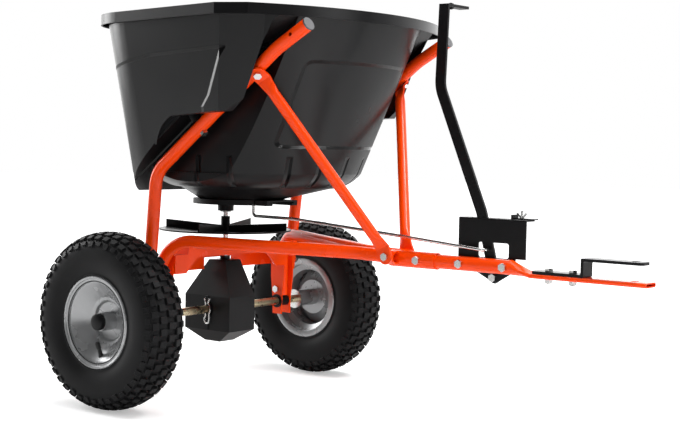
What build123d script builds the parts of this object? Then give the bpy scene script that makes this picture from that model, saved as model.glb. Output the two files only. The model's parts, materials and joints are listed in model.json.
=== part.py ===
"""Tow-behind lawn spreader: a hopper on a tube frame with two pneumatic wheels.

The axle turns a bevel gear pair, the gears spin a finned plate under the hopper,
and a lever on the hitch tube slides the gate that meters the granules.
Frame of the part: +X forward to the hitch, +Y to the left, +Z up, millimetres.
The origin is on the ground, straight below the point where the axle meets the spinner shaft.
"""
import os
from math import atan2, cos, hypot, pi, radians, sin, tan

from build123d import *

# Wheels
TYRE_OD = 330.0
TYRE_WIDTH = 88.0
TYRE_WALL = 7.0
SEAT_GAP = 0.3
RIM_SEAT_R = 74.0
RIM_FLANGE_R = 85.0
RIM_WIDTH = 76.0
RIM_SHEET = 2.5
RIM_WELL_R = 62.0
RIM_DISH = 20.0
HUB_OD = 34.0
HUB_INNER_REACH = 64.0
HUB_OUTER_REACH = 24.0
WHEEL_Y_RIGHT = -305.0
WHEEL_Y_LEFT = 283.0
WASHER_OD = 40.0
WASHER_T = 2.5
HUB_CAP_OD = 36.0
HUB_CAP_LENGTH = 12.0
VALVE_OD = 7.0
VALVE_LENGTH = 30.0
VALVE_LEAN = 24.0
DRIVE_PIN_D = 6.0

# Axle, gears and shaft
AXLE_D = 16.0
AXLE_Z = TYRE_OD / 2
AXLE_END_SPARE = 5.0
RUNNING_FIT = 0.05
SHAFT_D = 10.0
RING_TEETH = 40
PINION_TEETH = 10
GEAR_MODULE = 2.3
GEAR_FACE = 10.0
TOOTH_SHARE = 0.36
RING_HUB_OD = 34.0
PINION_HUB_OD = 22.0
GEAR_PIN_D = 4.0
SHAFT_PIN_D = 3.0
SHAFT_PIN_REACH = 11.5
SHAFT_TOP = AXLE_Z + 273.0
STIR_Z = AXLE_Z + 261.0
STIR_WIRE = 5.0
STIR_REACH = 46.0
SHAFT_BEARING_OD = 20.0
CASE_HALF_X = 61.0
CASE_Y_RIGHT = -50.0
CASE_Y_LEFT = 23.0
CASE_WALL = 3.0
CASE_FLOOR_Z = AXLE_Z - 65.0
CASE_CHINE_Z = AXLE_Z - 41.0
CASE_SHOULDER_Z = AXLE_Z + 27.0
CASE_TOP_Z = AXLE_Z + 97.0
CASE_FOOT = 40.0
CASE_NECK = 44.0
NECK_OD = 20.0
NECK_HEIGHT = 7.0
CLIP_WIRE = 3.0

# Spinner plate
SPINNER_R = 132.0
SPINNER_Z = AXLE_Z + 151.0
SPINNER_SHEET = 3.0
SPINNER_RISE = 5.0
SPINNER_HUB_OD = 18.0
SPINNER_HUB_TOP = AXLE_Z + 184.0
FIN_HEIGHT = 15.0
FIN_T = 2.5
FINS = 4
FIN_TURN = 20.0

# Frame tubes and axle hangers
TUBE_OD = 24.0
TUBE_WALL = 2.0
LEG_Y = 176.0
FRAME_REAR_Z = AXLE_Z + 144.0
FRAME_FRONT_Z = AXLE_Z + 131.0
LEG_FOOT_Z = AXLE_Z + 12.0
LEG_BEND_R = 60.0
NOSE_BEND_R = 90.0
NOSE_START_X = 352.0
NOSE_END_X = 430.0
CLASP_END_X = 517.0
CLASP_SPLIT = 0.5
FRAME_NOSE_Y = 21.2
PLATE_T = 3.0
HANGER_TOP_Z = AXLE_Z + 94.0
HANGER_FOOT_Z = AXLE_Z - 27.0
HANGER_TOP_W = 36.0
HANGER_FOOT_W = 24.0
HANGER_BOLT_Z = (AXLE_Z + 25.0, AXLE_Z + 85.0)
BUSH_OD = 22.0
BUSH_FLANGE_OD = 28.0
BUSH_FLANGE_T = 2.0
MEMBER_TOP_Z = AXLE_Z + 129.0
MEMBER_LOW_TOP_Z = AXLE_Z + 114.0
MEMBER_BOTTOM_Z = AXLE_Z + 78.0
MEMBER_NOTCH_Z = AXLE_Z + 108.0
MEMBER_HALF_X = 22.0
MEMBER_STEP_Y = 128.0
MEMBER_NOTCH_TOP_Y = 100.0
MEMBER_NOTCH_FOOT_Y = 132.0

# Hopper support tubes and braces
SUPPORT_Y = 204.5
SUPPORT_BASE_Z = AXLE_Z + 135.0
SUPPORT_SPLAY = 0.0165
SUPPORT_HOLE_BACK = 34.0
SUPPORT_HOLE_D = 7.0
SUPPORT_FOOT = (-5.0, AXLE_Z + 67.0)
SUPPORT_KNEE = (16.0, AXLE_Z + 273.0)
SUPPORT_SHOULDER = (315.0, AXLE_Z + 496.0)
SUPPORT_END = (384.0, AXLE_Z + 534.0)
SUPPORT_KNEE_R = 55.0
SUPPORT_SHOULDER_R = 160.0
CAP_T = 3.0
CAP_PLUG = 12.0
BRACE_OD = 20.0
BRACE_WALL = 1.5
BRACE_FLAT_T = 4.0
BRACE_FLAT_W = 28.0
BRACE_TAB = 17.0
BRACE_NECK = 30.0
BRACE_HEAD_X = 269.0
BRACE_HEAD_TURN = 30.0
BRACE_FOOT = (428.0, AXLE_Z + 132.0)

# Hitch tube and hitch plate
HITCH_OD = 25.4
HITCH_WALL = 2.0
HITCH_Z = AXLE_Z + 128.0
HITCH_TUBE_REAR_X = 436.0
HITCH_TUBE_FRONT_X = 670.0
STRAP_START_X = 712.0
STRAP_END_X = 925.0
STRAP_W = 36.0
STRAP_T = 8.0
STRAP_Z = AXLE_Z + 118.0
HITCH_PLATE_W = 32.0
HITCH_PLATE_T = 5.0
HITCH_GAP_TOP_Z = AXLE_Z + 149.0
HITCH_PLATE_REAR_X = 714.0
HITCH_RISER_X = 808.0
HITCH_PLATE_END_X = 917.0
PIN_BORE_D = 13.5
PIN_X = 898.0

# Hopper
HOPPER_WALL = 4.0
RIM_TOP_Z = AXLE_Z + 568.0
RIM_BAND = 19.0
RIM_LIP = 3.0
RIM_REAR = (-158.0, 258.0)
RIM_CORNER = (264.0, 316.0)
RIM_PILLAR = (316.0, 288.0)
RIM_FRONT_X = 403.0
RIM_CORNER_R = 152.0
CONE_X = 82.0
CONE_FOOT_Z = AXLE_Z + 275.0
CONE_FOOT_R = 205.0
CONE_SLOPE = 0.395
BOWL_WAIST = (189.0, AXLE_Z + 259.0)
BOWL_CREASE = (148.0, AXLE_Z + 245.0)
FUNNEL_X = 42.0
FUNNEL_R = 83.0
FUNNEL_Z = AXLE_Z + 221.0
BOWL_SWELL = 5.0
WALL_LIFT = 0.9
TUB_FOOT_Z = FUNNEL_Z + 14.0
TUB_HEAD_Z = RIM_TOP_Z + 27.0
TUB_FOOT = {"rear": -107.0, "side": 207.0, "crease": (192.0, 228.0), "pillar": (226.0, 182.0),
            "front": 420.0, "corner": 128.0}
TUB_HEAD = {"rear": -156.0, "side": 251.0, "crease": (268.0, 306.0), "pillar": (325.0, 248.0),
            "front": 470.0, "corner": 152.0}
CREASE_PULL = 0.4
PILLAR_PULL = 0.6
CORE_HALF_Y = 182.0
WING_INNER_Y = 232.0
WING_FOOT_Z = AXLE_Z + 287.0
ARCH = ((38.0, WING_FOOT_Z), (52.0, AXLE_Z + 347.0), (92.0, AXLE_Z + 378.0))
LEDGE = ((232.0, AXLE_Z + 387.0), (258.0, AXLE_Z + 409.0), (352.0, AXLE_Z + 565.0))
CHANNEL_GAP = 20.0
SPARE = 60.0
PAD_OD = 22.0
PAD_X = (132.0, 245.0)
PORT_X = (18.0, 62.0)
PORT_HALF_Y = 26.0

# Gate under the hopper
DECK_X = 36.0
DECK_R = 91.0
DECK_T = 10.0
DECK_WALL = 3.0
DECK_NOSE_X = 150.0
GATE_T = 2.5
GATE_Z = AXLE_Z + 215.1
GATE_HALF_Y = 34.0
GATE_REAR_X = 24.0
GATE_FRONT_X = 100.0
GATE_CLEAR = 0.4
GATE_PIN_X = 75.0
GATE_PIN_PLAY = 1.0
GATE_OPEN = 21.0
GATE_BACK = 4.0
RAIL_W = 10.0
SHAFT_BUSH_OD = 32.0
SHAFT_BUSH_BOTTOM = AXLE_Z + 195.0
SHAFT_SLEEVE_OD = 16.0
ROD_D = 6.0
ROD_REAR_Z = AXLE_Z + 188.0
ROD_BEND = ((177.0, AXLE_Z + 187.0), (416.0, AXLE_Z + 170.0))

# Lever and its bracket
BRACKET_T = 3.0
BRACKET_Y = HITCH_OD / 2 + SEAT_GAP
BRACKET_X = (551.0, 687.0)
BRACKET_TOP_Z = AXLE_Z + 209.0
BRACKET_FLANGE_Y = 42.0
BRACKET_TAB = (588.0, 628.0, 660.0)
BRACKET_BOLT_X = (570.0, 659.0)
BRACKET_NECK = (667.0, AXLE_Z + 141.0)
WINDOW_X = (592.0, 654.0)
WINDOW_Z = (AXLE_Z + 141.0, AXLE_Z + 167.0)
LEVER_W = 20.0
LEVER_T = 5.0
LEVER_Y = BRACKET_Y + BRACKET_T + SEAT_GAP
LEVER_PIVOT = (624.0, AXLE_Z + 106.0)
LEVER_SLOT = (572.0, 662.0)
SLOT_PLAY = 0.8
ROD_HOLE = (611.0, AXLE_Z + 154.0)
LEVER_BEND = (594.0, AXLE_Z + 219.0)
LEVER_KNEE = (501.0, AXLE_Z + 437.0)
LEVER_TOP = (506.0, LEVER_KNEE[1] + 143.0)
LEVER_KNEE_R = 60.0
GRIP_REACH = 66.0
EYE_Y = 23.0
EYE_OD = 12.0
EYE_ID = 6.0
STOP_X = (655.0, 696.0)
STOP_Y = (24.0, 38.0)
STOP_T = 2.0
STOP_LIP = 8.0
STOP_SCREW_X = 668.0
STOP_SCREW_Y = 31.0
STOP_SCREW_D = 5.0
STOP_TRAVEL = 12.0

# Fasteners
BOLT_D = 8.0
BOLT_HEAD_AF = 13.0
BOLT_HEAD_H = 5.3
NUT_H = 6.5
HOLE_PLAY = 0.2
NUT_PLAY = 0.1
HANGER_BOLT_X = -2.0
CLASP_BOLT_X = 481.0
HITCH_BOLT_X = (741.0, 786.0)
CASE_SCREW_D = 5.0
CASE_SCREW_END = 40.0

SIDES = {"right": -1, "left": 1}
TYRE_R = TYRE_OD / 2


def support_y(z):
    """Distance of a hopper support tube's axis from the middle plane at height z."""
    return SUPPORT_Y + (z - SUPPORT_BASE_Z) * SUPPORT_SPLAY


def support_point(xz, side):
    """A point of a support tube's axis from its (x, z) in the tube's plane."""
    return Vector(xz[0], side * support_y(xz[1]), xz[1])


def ring_y():
    """Turn of a profile drawn in X and Z about the axle line."""
    return Axis((0, 0, AXLE_Z), (0, 1, 0))


def rod(start, end, diameter):
    """A round bar between two points."""
    start = Vector(start)
    along = Vector(end) - start
    return extrude(Plane(start, z_dir=along) * Circle(diameter / 2), along.length)


def slab(x, y, z):
    """A box from three (low, high) pairs."""
    box = Box(x[1] - x[0], y[1] - y[0], z[1] - z[0])
    return Pos((x[0] + x[1]) / 2, (y[0] + y[1]) / 2, (z[0] + z[1]) / 2) * box


def upright(points, y0, y1):
    """A flat shape given by (x, z) points, standing between two y values."""
    face = make_face(Polyline(*[(x, y0, z) for x, z in points], close=True))
    return extrude(face, y1 - y0, dir=(0, 1, 0))


def bent_tube(points, radii, od, wall):
    """A round tube along straight runs joined by bends."""
    path = FilletPolyline(*points, radius=radii)
    section = Circle(od / 2) - Circle(od / 2 - wall)
    return sweep(Plane(path @ 0, z_dir=path % 0) * section, path=path)


def bolt(seat, along, grip, diameter=BOLT_D):
    """A hexagon bolt whose head seats at a point and whose shank runs through the grip."""
    scale = diameter / BOLT_D
    base = Plane(Vector(seat), z_dir=Vector(along))
    head = extrude(base * RegularPolygon(BOLT_HEAD_AF * scale / 2, 6, major_radius=False),
                   -BOLT_HEAD_H * scale)
    length = grip + NUT_H * scale + 2.0
    return head + extrude(base * Circle(diameter / 2), length)


def nut(seat, along, diameter=BOLT_D):
    """A hexagon nut that seats at a point."""
    scale = diameter / BOLT_D
    base = Plane(Vector(seat), z_dir=Vector(along))
    ring = RegularPolygon(BOLT_HEAD_AF * scale / 2, 6, major_radius=False)
    return extrude(base * (ring - Circle(diameter / 2 + NUT_PLAY)), NUT_H * scale)


def bolt_and_nut(seat, along, grip, diameter=BOLT_D):
    """A bolt with its nut, each a solid of its own."""
    along = Vector(along).normalized()
    return [bolt(seat, along, grip, diameter)], [nut(Vector(seat) + along * grip, along, diameter)]


# Wheels


def wheel_profile(points):
    """Turn (y, radius) points into a solid of revolution about the axle line."""
    face = make_face(Polyline(*[(0, y, AXLE_Z + r) for y, r in points], close=True))
    return revolve(face, ring_y())


def tyre_form(y0, inset):
    """The tyre's closed section turned about the axle, drawn smaller by the inset."""
    bead = RIM_WIDTH / 2 - RIM_SHEET - SEAT_GAP - inset
    wide = TYRE_WIDTH / 2 - inset
    crown = TYRE_R - inset
    half = [(bead, RIM_SEAT_R + SEAT_GAP), (bead, RIM_FLANGE_R + 2.0), (wide, TYRE_R * 0.74),
            (wide * 0.86, crown - 9.0)]
    def at(index, flip):
        return (0, y0 + flip * half[index][0], AXLE_Z + half[index][1])
    edges = [ThreePointArc(at(3, -1), (0, y0, AXLE_Z + crown), at(3, 1)), Line(at(0, -1), at(0, 1))]
    for flip in (-1, 1):
        edges.append(Line(at(0, flip), at(1, flip)))
        edges.append(ThreePointArc(at(1, flip), at(2, flip), at(3, flip)))
    return revolve(make_face(edges), ring_y())


def tyre(y0):
    """Pneumatic tyre: crowned tread, bulging sidewalls and an inside open to the rim."""
    mouth = RIM_WIDTH / 2 - RIM_SHEET - SEAT_GAP - TYRE_WALL
    throat = wheel_profile([(y0 - mouth, RIM_SEAT_R - 5), (y0 - mouth, RIM_FLANGE_R + 4),
                            (y0 + mouth, RIM_FLANGE_R + 4), (y0 + mouth, RIM_SEAT_R - 5)])
    return tyre_form(y0, 0.0) - tyre_form(y0, TYRE_WALL) - throat


def rim(y0, outward):
    """Dished steel rim: two flanges, a drop well and a ridged centre disc."""
    half = RIM_WIDTH / 2
    t = RIM_SHEET
    seat = RIM_SEAT_R
    barrel = wheel_profile([
        (y0 - half, RIM_FLANGE_R), (y0 - half + t, RIM_FLANGE_R), (y0 - half + t, seat),
        (y0 - half + 16, seat), (y0 - half + 22, RIM_WELL_R), (y0 + half - 22, RIM_WELL_R),
        (y0 + half - 16, seat), (y0 + half - t, seat),
        (y0 + half - t, RIM_FLANGE_R), (y0 + half, RIM_FLANGE_R), (y0 + half, seat - t),
        (y0 + half - 17, seat - t), (y0 + half - 23, RIM_WELL_R - t),
        (y0 - half + 23, RIM_WELL_R - t), (y0 - half + 17, seat - t),
        (y0 - half, seat - t),
    ])
    barrel -= valve_stem(y0, outward, 2 * RUNNING_FIT)
    face_y = y0 + outward * (half - RIM_DISH)
    def disc(r, dy):
        return (face_y + outward * dy, r)
    outer = [disc(HUB_OD / 2, 4), disc(26, 4), disc(32, 0), disc(40, 0), disc(45, 4), disc(52, 4),
             disc(57, -2), disc(RIM_WELL_R - t / 2, -2)]
    inner = [(y - outward * t, r) for y, r in reversed(outer)]
    return barrel + wheel_profile(outer + inner)


def wheel_hub(y0, outward):
    """Hub tube welded through the rim disc. The driven right one is pinned to the axle."""
    start = y0 - outward * HUB_INNER_REACH
    end = y0 + outward * HUB_OUTER_REACH
    low, high = sorted((start, end))
    bore = AXLE_D / 2 + RUNNING_FIT
    hub = wheel_profile([(low, bore), (low, HUB_OD / 2), (high, HUB_OD / 2), (high, bore)])
    if outward < 0:
        hub -= drive_pin(2 * RUNNING_FIT)
    return hub


def drive_pin(play=0.0):
    """Cross pin that makes the right wheel turn the axle."""
    y = WHEEL_Y_RIGHT + HUB_INNER_REACH - 9.0
    reach = HUB_OD / 2 + 3.0
    return rod((0, y, AXLE_Z - reach), (0, y, AXLE_Z + reach), DRIVE_PIN_D + play)


def wheel_washer(y0, outward):
    """Plain washer on the axle at the inner end of the hub."""
    seat = y0 - outward * HUB_INNER_REACH
    low, high = sorted((seat, seat - outward * WASHER_T))
    bore = AXLE_D / 2 + RUNNING_FIT
    return wheel_profile([(low, bore), (low, WASHER_OD / 2), (high, WASHER_OD / 2), (high, bore)])


def hub_cap(y0, outward):
    """Black push-on cap that closes the hub and holds the axle's end."""
    seat = y0 + outward * HUB_OUTER_REACH
    nose = seat + outward * HUB_CAP_LENGTH
    bore = AXLE_D / 2 + RUNNING_FIT
    tip = HUB_CAP_OD / 2
    return wheel_profile([
        (seat, bore), (seat, tip), (nose - outward * 5, tip), (nose, tip - 6), (nose, 0.0),
        (nose - outward * 3, 0.0), (nose - outward * 3, bore),
    ])


def valve_stem(y0, outward, play=0.0):
    """Rubber valve stem through the shoulder between the rim's well and its bead seat."""
    through = Vector(0, y0 + outward * (RIM_WIDTH / 2 - 19), AXLE_Z - (RIM_SEAT_R + RIM_WELL_R) / 2)
    lean = Vector(0, outward * cos(radians(VALVE_LEAN)), sin(radians(VALVE_LEAN)))
    return rod(through - lean * 9, through + lean * (VALVE_LENGTH - 9), VALVE_OD + play)


# Drive


def axle():
    """Solid axle with the cross hole for its retaining clip."""
    ends = (WHEEL_Y_RIGHT - HUB_OUTER_REACH - AXLE_END_SPARE, WHEEL_Y_LEFT + HUB_OUTER_REACH + AXLE_END_SPARE)
    bar = rod((0, ends[0], AXLE_Z), (0, ends[1], AXLE_Z), AXLE_D)
    hole = rod((0, clip_y(), AXLE_Z - AXLE_D), (0, clip_y(), AXLE_Z + AXLE_D), CLIP_WIRE + 2 * RUNNING_FIT)
    return bar - hole - drive_pin(2 * RUNNING_FIT) - ring_gear_pin(2 * RUNNING_FIT)


def ring_gear_pin(play=0.0):
    """Cross pin through the large gear's hub and the axle."""
    y = -(GEAR_MODULE * PINION_TEETH / 2 + 9.0)
    reach = RING_HUB_OD / 2
    return rod((0, y, AXLE_Z - reach), (0, y, AXLE_Z + reach), GEAR_PIN_D + play)


def pinion_pin(play=0.0):
    """Cross pin through the small gear's hub and the shaft."""
    z = AXLE_Z + GEAR_MODULE * RING_TEETH / 2 + 6.0
    reach = SHAFT_PIN_REACH
    return rod((-reach, 0, z), (reach, 0, z), SHAFT_PIN_D + play)


def spinner_pin(play=0.0):
    """Cross pin through the spinner plate's hub and the shaft."""
    z = SPINNER_HUB_TOP - 7.0
    reach = SHAFT_PIN_REACH
    return rod((-reach, 0, z), (reach, 0, z), SHAFT_PIN_D + play)


def clip_y():
    """Place of the retaining clip, just outside the gearbox."""
    return CASE_Y_RIGHT - 4.0


def r_clip():
    """Hairpin clip: one leg through the axle, the other sprung round it."""
    y = clip_y()
    around = AXLE_D / 2 + CLIP_WIRE / 2 + HOLE_PLAY
    pts = [
        (-3, y, AXLE_Z + 22), (0, y, AXLE_Z + 15), (0, y, AXLE_Z - 13), (-4, y, AXLE_Z - 20),
        (1, y, AXLE_Z - 28), (8, y, AXLE_Z - 27), (10, y, AXLE_Z - 17), (around, y, AXLE_Z - 9),
        (around + 2.5, y, AXLE_Z), (around, y, AXLE_Z + 9), (around - 3, y, AXLE_Z + 14),
        (around + 2, y, AXLE_Z + 22),
    ]
    path = FilletPolyline(*pts, radius=3.0)
    return sweep(Plane(path @ 0, z_dir=path % 0) * Circle(CLIP_WIRE / 2), path=path)


def bevel_gear(teeth, mate, apex, outward, bore, hub_od, hub_reach, phase):
    """Straight bevel gear: a cone with teeth that narrow to the apex.

    The gear's axis leaves the apex along outward. Its pitch circle lies one mate radius out.
    """
    pitch_r = GEAR_MODULE * teeth / 2
    reach = GEAR_MODULE * mate / 2
    cone = hypot(pitch_r, reach)
    slope = atan2(pitch_r, reach)
    base = Plane(apex, z_dir=outward)
    toe = (cone - GEAR_FACE) / cone
    root = GEAR_MODULE * 1.25
    tip = GEAR_MODULE * 1.0
    def on_cone(share, height):
        """Axial and radial place at a share of the cone length, height above the pitch cone."""
        axial = reach * share - height * share * sin(slope)
        radial = pitch_r * share + height * share * cos(slope)
        return axial, radial
    a1, r1 = on_cone(1.0, -root)
    a0, r0 = on_cone(toe, -root)
    back = a1 + hub_reach
    blank_points = [(bore, a0), (r0, a0), (r1, a1), (r1 - 1.5, a1 + 3.0), (hub_od / 2, a1 + 3.0),
                    (hub_od / 2, back), (bore, back)]
    if hub_od / 2 >= r1 - 1.5:
        blank_points = [(bore, a0), (r0, a0), (r1, a1), (r1, back), (bore, back)]
    blank_face = make_face(Polyline(*[(r, 0, a) for r, a in blank_points], close=True))
    gear = revolve(blank_face, Axis.Z)
    pitch = 2 * pi * pitch_r / teeth
    sink = 0.3
    def section(share):
        """One tooth's cross-section at a share of the cone length."""
        wide = pitch * share * TOOTH_SHARE / 2
        flank = tan(radians(20.0))
        low_a, low_r = on_cone(share, -root - sink)
        top_a, top_r = on_cone(share, tip)
        w_low = wide + (root + sink) * share * flank
        w_top = wide - tip * share * flank
        corners = [(low_r, -w_low, low_a), (low_r, w_low, low_a), (top_r, w_top, top_a), (top_r, -w_top, top_a)]
        return make_face(Polyline(*corners, close=True))
    tooth = loft([section(1.0), section(toe)], ruled=True)
    for i in range(teeth):
        gear += Rot(0, 0, phase + 360.0 * i / teeth) * tooth
    return base.location * gear


def gear_apex():
    """The point where the axle's and the shaft's lines cross."""
    return (0, 0, AXLE_Z)


def ring_gear():
    """Large bevel gear on the axle, teeth towards the shaft."""
    bore = AXLE_D / 2 + RUNNING_FIT
    gear = bevel_gear(RING_TEETH, PINION_TEETH, gear_apex(), (0, -1, 0), bore, RING_HUB_OD, 14.0, 0.0)
    return gear - ring_gear_pin(2 * RUNNING_FIT)


def pinion():
    """Small bevel gear at the foot of the spinner shaft."""
    half_tooth = 180.0 / PINION_TEETH
    bore = SHAFT_D / 2 + RUNNING_FIT
    gear = bevel_gear(PINION_TEETH, RING_TEETH, gear_apex(), (0, 0, 1), bore, PINION_HUB_OD, 10.0,
                      half_tooth + 90.0)
    return gear - pinion_pin(2 * RUNNING_FIT)


def case_form(inset):
    """Faceted gearbox body, as a loft through four rectangles."""
    mid = (CASE_Y_RIGHT + CASE_Y_LEFT) / 2
    depth = CASE_Y_LEFT - CASE_Y_RIGHT
    def level(z, x, y, centre):
        return Pos(0, centre, z) * Rectangle(x - 2 * inset, y - 2 * inset)
    foot = level(CASE_FLOOR_Z + inset, CASE_FOOT, CASE_FOOT, mid)
    chine = level(CASE_CHINE_Z, 2 * CASE_HALF_X, depth, mid)
    shoulder = level(CASE_SHOULDER_Z, 2 * CASE_HALF_X, depth, mid)
    top = level(CASE_TOP_Z - inset, CASE_NECK, CASE_NECK, -1.0)
    return loft([foot, chine], ruled=True) + loft([chine, shoulder], ruled=True) + loft([shoulder, top], ruled=True)


def gearbox_half(front):
    """One half of the gearbox case, split at the plane of axle and shaft."""
    case = case_form(0.0)
    neck = Pos(0, 0, CASE_TOP_Z) * Cylinder(NECK_OD / 2, NECK_HEIGHT, align=(Align.CENTER, Align.CENTER, Align.MIN))
    boss_y = (CASE_Y_RIGHT - 2.0, CASE_Y_LEFT + 4.0)
    boss = rod((0, boss_y[0], AXLE_Z), (0, boss_y[1], AXLE_Z), AXLE_D + 14.0)
    seam = slab((-4, 4), (CASE_Y_RIGHT - 1.5, CASE_Y_LEFT + 1.5), (CASE_CHINE_Z, CASE_SHOULDER_Z))
    solid = case + neck + boss + seam - case_form(CASE_WALL)
    for y, z in case_screw_places():
        reach = CASE_HALF_X - CASE_WALL / 2
        solid += rod((-reach, y, z), (reach, y, z), CASE_SCREW_D + 6)
        solid -= rod((-CASE_HALF_X - 1, y, z), (CASE_SCREW_END, y, z), CASE_SCREW_D + 2 * RUNNING_FIT)
    solid -= rod((0, boss_y[0] - 1, AXLE_Z), (0, boss_y[1] + 1, AXLE_Z), AXLE_D + 2 * RUNNING_FIT)
    solid -= rod((0, 0, CASE_TOP_Z - 40), (0, 0, CASE_TOP_Z + 40), SHAFT_D + 2 * RUNNING_FIT)
    wide = 2 * CASE_HALF_X
    keep = (0.0, wide) if front else (-wide, 0.0)
    return solid & slab(keep, (-wide, wide), (0, CASE_TOP_Z + wide))


def case_screw_places():
    """Where the four screws that join the case halves run, as (y, z)."""
    ys = (CASE_Y_RIGHT + CASE_WALL + 5, CASE_Y_LEFT - CASE_WALL - 5)
    zs = (CASE_CHINE_Z + 8, CASE_SHOULDER_Z - 8)
    return [(y, z) for y in ys for z in zs]


def shaft():
    """Vertical spinner shaft from the gearbox up into the hopper."""
    foot = AXLE_Z + AXLE_D / 2 + 3.0
    bar = rod((0, 0, foot), (0, 0, SHAFT_TOP), SHAFT_D)
    stir = rod((-SHAFT_D, 0, STIR_Z), (SHAFT_D, 0, STIR_Z), STIR_WIRE + 2 * RUNNING_FIT)
    return bar - pinion_pin(2 * RUNNING_FIT) - spinner_pin(2 * RUNNING_FIT) - stir


def spinner():
    """Finned plate that throws the granules, with its hub."""
    bore = SHAFT_D / 2 + RUNNING_FIT
    t = SPINNER_SHEET
    z = SPINNER_Z
    edge = SPINNER_R
    profile = [(bore, z), (edge * 0.45, z), (edge, z + SPINNER_RISE), (edge, z + SPINNER_RISE + t),
               (edge * 0.45, z + t), (SPINNER_HUB_OD / 2, z + t), (SPINNER_HUB_OD / 2, SPINNER_HUB_TOP),
               (bore, SPINNER_HUB_TOP)]
    plate = revolve(make_face(Polyline(*[(r, 0, h) for r, h in profile], close=True)), Axis.Z)
    start = SPINNER_HUB_OD / 2 - 1.0
    fin_points = [(start, z + t / 2), (edge * 0.45, z + t / 2), (edge - 1.0, z + SPINNER_RISE + t / 2),
                  (edge - 1.0, z + SPINNER_RISE + t + FIN_HEIGHT), (start, z + t + FIN_HEIGHT * 0.8)]
    fin = upright(fin_points, -FIN_T / 2, FIN_T / 2)
    for i in range(FINS):
        plate += Rot(0, 0, FIN_TURN + 360.0 * i / FINS) * fin
    return plate - spinner_pin(2 * RUNNING_FIT)


def agitator():
    """Wire stirrer pinned across the top of the shaft inside the hopper."""
    z = STIR_Z
    reach = STIR_REACH
    pts = [(-reach, 0, z + 10), (-reach + 14, 0, z), (reach - 14, 0, z), (reach, 0, z - 8)]
    path = FilletPolyline(*pts, radius=6.0)
    return sweep(Plane(path @ 0, z_dir=path % 0) * Circle(STIR_WIRE / 2), path=path)


# Frame


def frame_path(side):
    """Axis of a frame tube: up from the axle, forward, and in to the hitch tube."""
    return [
        (0, side * LEG_Y, LEG_FOOT_Z),
        (0, side * LEG_Y, FRAME_REAR_Z),
        (NOSE_START_X, side * FRAME_NOSE_Y, FRAME_FRONT_Z + 3.0),
        (NOSE_END_X + 12.0, side * FRAME_NOSE_Y, FRAME_FRONT_Z),
    ]


def frame_tube(side):
    """Bent frame tube whose nose is pressed into a half shell round the hitch tube."""
    pts = frame_path(side)
    tube = bent_tube(pts, [LEG_BEND_R, NOSE_BEND_R], TUBE_OD, TUBE_WALL)
    outer = HITCH_OD / 2 + TUBE_WALL + SEAT_GAP
    shell_start = NOSE_END_X - 14.0
    along = Plane((shell_start, 0, HITCH_Z), z_dir=(1, 0, 0))
    shell = extrude(along * Circle(outer), CLASP_END_X - shell_start)
    clear = extrude(along.offset(-60) * Circle(outer - TUBE_WALL), 300)
    wide = CLASP_END_X
    own_side = slab((-wide, 2 * wide), sorted((side * CLASP_SPLIT, side * wide)), (0, wide))
    body = ((tube + shell) - clear) & own_side
    return drill(body, frame_bolt_places()[:2] + hanger_bolt_places(side))


def frame_bolt_places():
    """Seat, direction and grip of the bolts across the frame's nose and the hitch tube."""
    brace_seat = brace_foot(-1)[0] - Vector(0, BRACE_FLAT_T / 2, 0)
    clasp = HITCH_OD / 2 + TUBE_WALL + SEAT_GAP
    tube = HITCH_OD / 2
    return [
        (tuple(brace_seat), (0, 1, 0), -2 * brace_seat.Y),
        ((CLASP_BOLT_X, -clasp, HITCH_Z), (0, 1, 0), 2 * clasp),
        ((BRACKET_BOLT_X[0], -tube, HITCH_Z), (0, 1, 0), tube + BRACKET_Y + BRACKET_T),
        ((BRACKET_BOLT_X[1], -tube, HITCH_Z), (0, 1, 0), tube + BRACKET_Y + BRACKET_T),
    ]


def hanger_bolt_places(side):
    """Seat, direction and grip of the two bolts through a leg and its hanger plates."""
    low = LEG_Y - TUBE_OD / 2 - PLATE_T
    top_out = support_y(HANGER_BOLT_Z[1]) + TUBE_OD / 2 + SEAT_GAP
    low_out = LEG_Y + TUBE_OD / 2 + PLATE_T
    return [
        ((HANGER_BOLT_X, side * low, HANGER_BOLT_Z[0]), (0, side, 0), low_out - low),
        ((HANGER_BOLT_X, side * (low - PLATE_T), HANGER_BOLT_Z[1]), (0, side, 0), top_out - low + PLATE_T),
    ]


def drill(body, places, diameter=BOLT_D):
    """The body with a clearance hole along every bolt place."""
    for seat, along, grip in places:
        line = Vector(along).normalized()
        start = Vector(seat) - line
        body -= rod(start, start + line * (grip + 2), diameter + 2 * HOLE_PLAY)
    return body


def hanger_plate(side, outer):
    """Flat plate that hangs the axle from the frame leg."""
    gap = TUBE_OD / 2
    inner_face = LEG_Y + gap if outer else LEG_Y - gap - PLATE_T
    y0, y1 = sorted((side * inner_face, side * (inner_face + PLATE_T)))
    top, foot = HANGER_TOP_W / 2, HANGER_FOOT_W / 2
    points = [(-top, HANGER_TOP_Z), (top, HANGER_TOP_Z), (top, HANGER_TOP_Z - 42), (foot, AXLE_Z),
              (foot, HANGER_FOOT_Z), (-foot, HANGER_FOOT_Z), (-foot, AXLE_Z), (-top, HANGER_TOP_Z - 42)]
    plate = upright(points, y0, y1)
    bore = BUSH_OD + 2 * RUNNING_FIT
    plate -= rod((0, y0 - 1, AXLE_Z), (0, y1 + 1, AXLE_Z), bore)
    return drill(plate, hanger_bolt_places(side))


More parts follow.
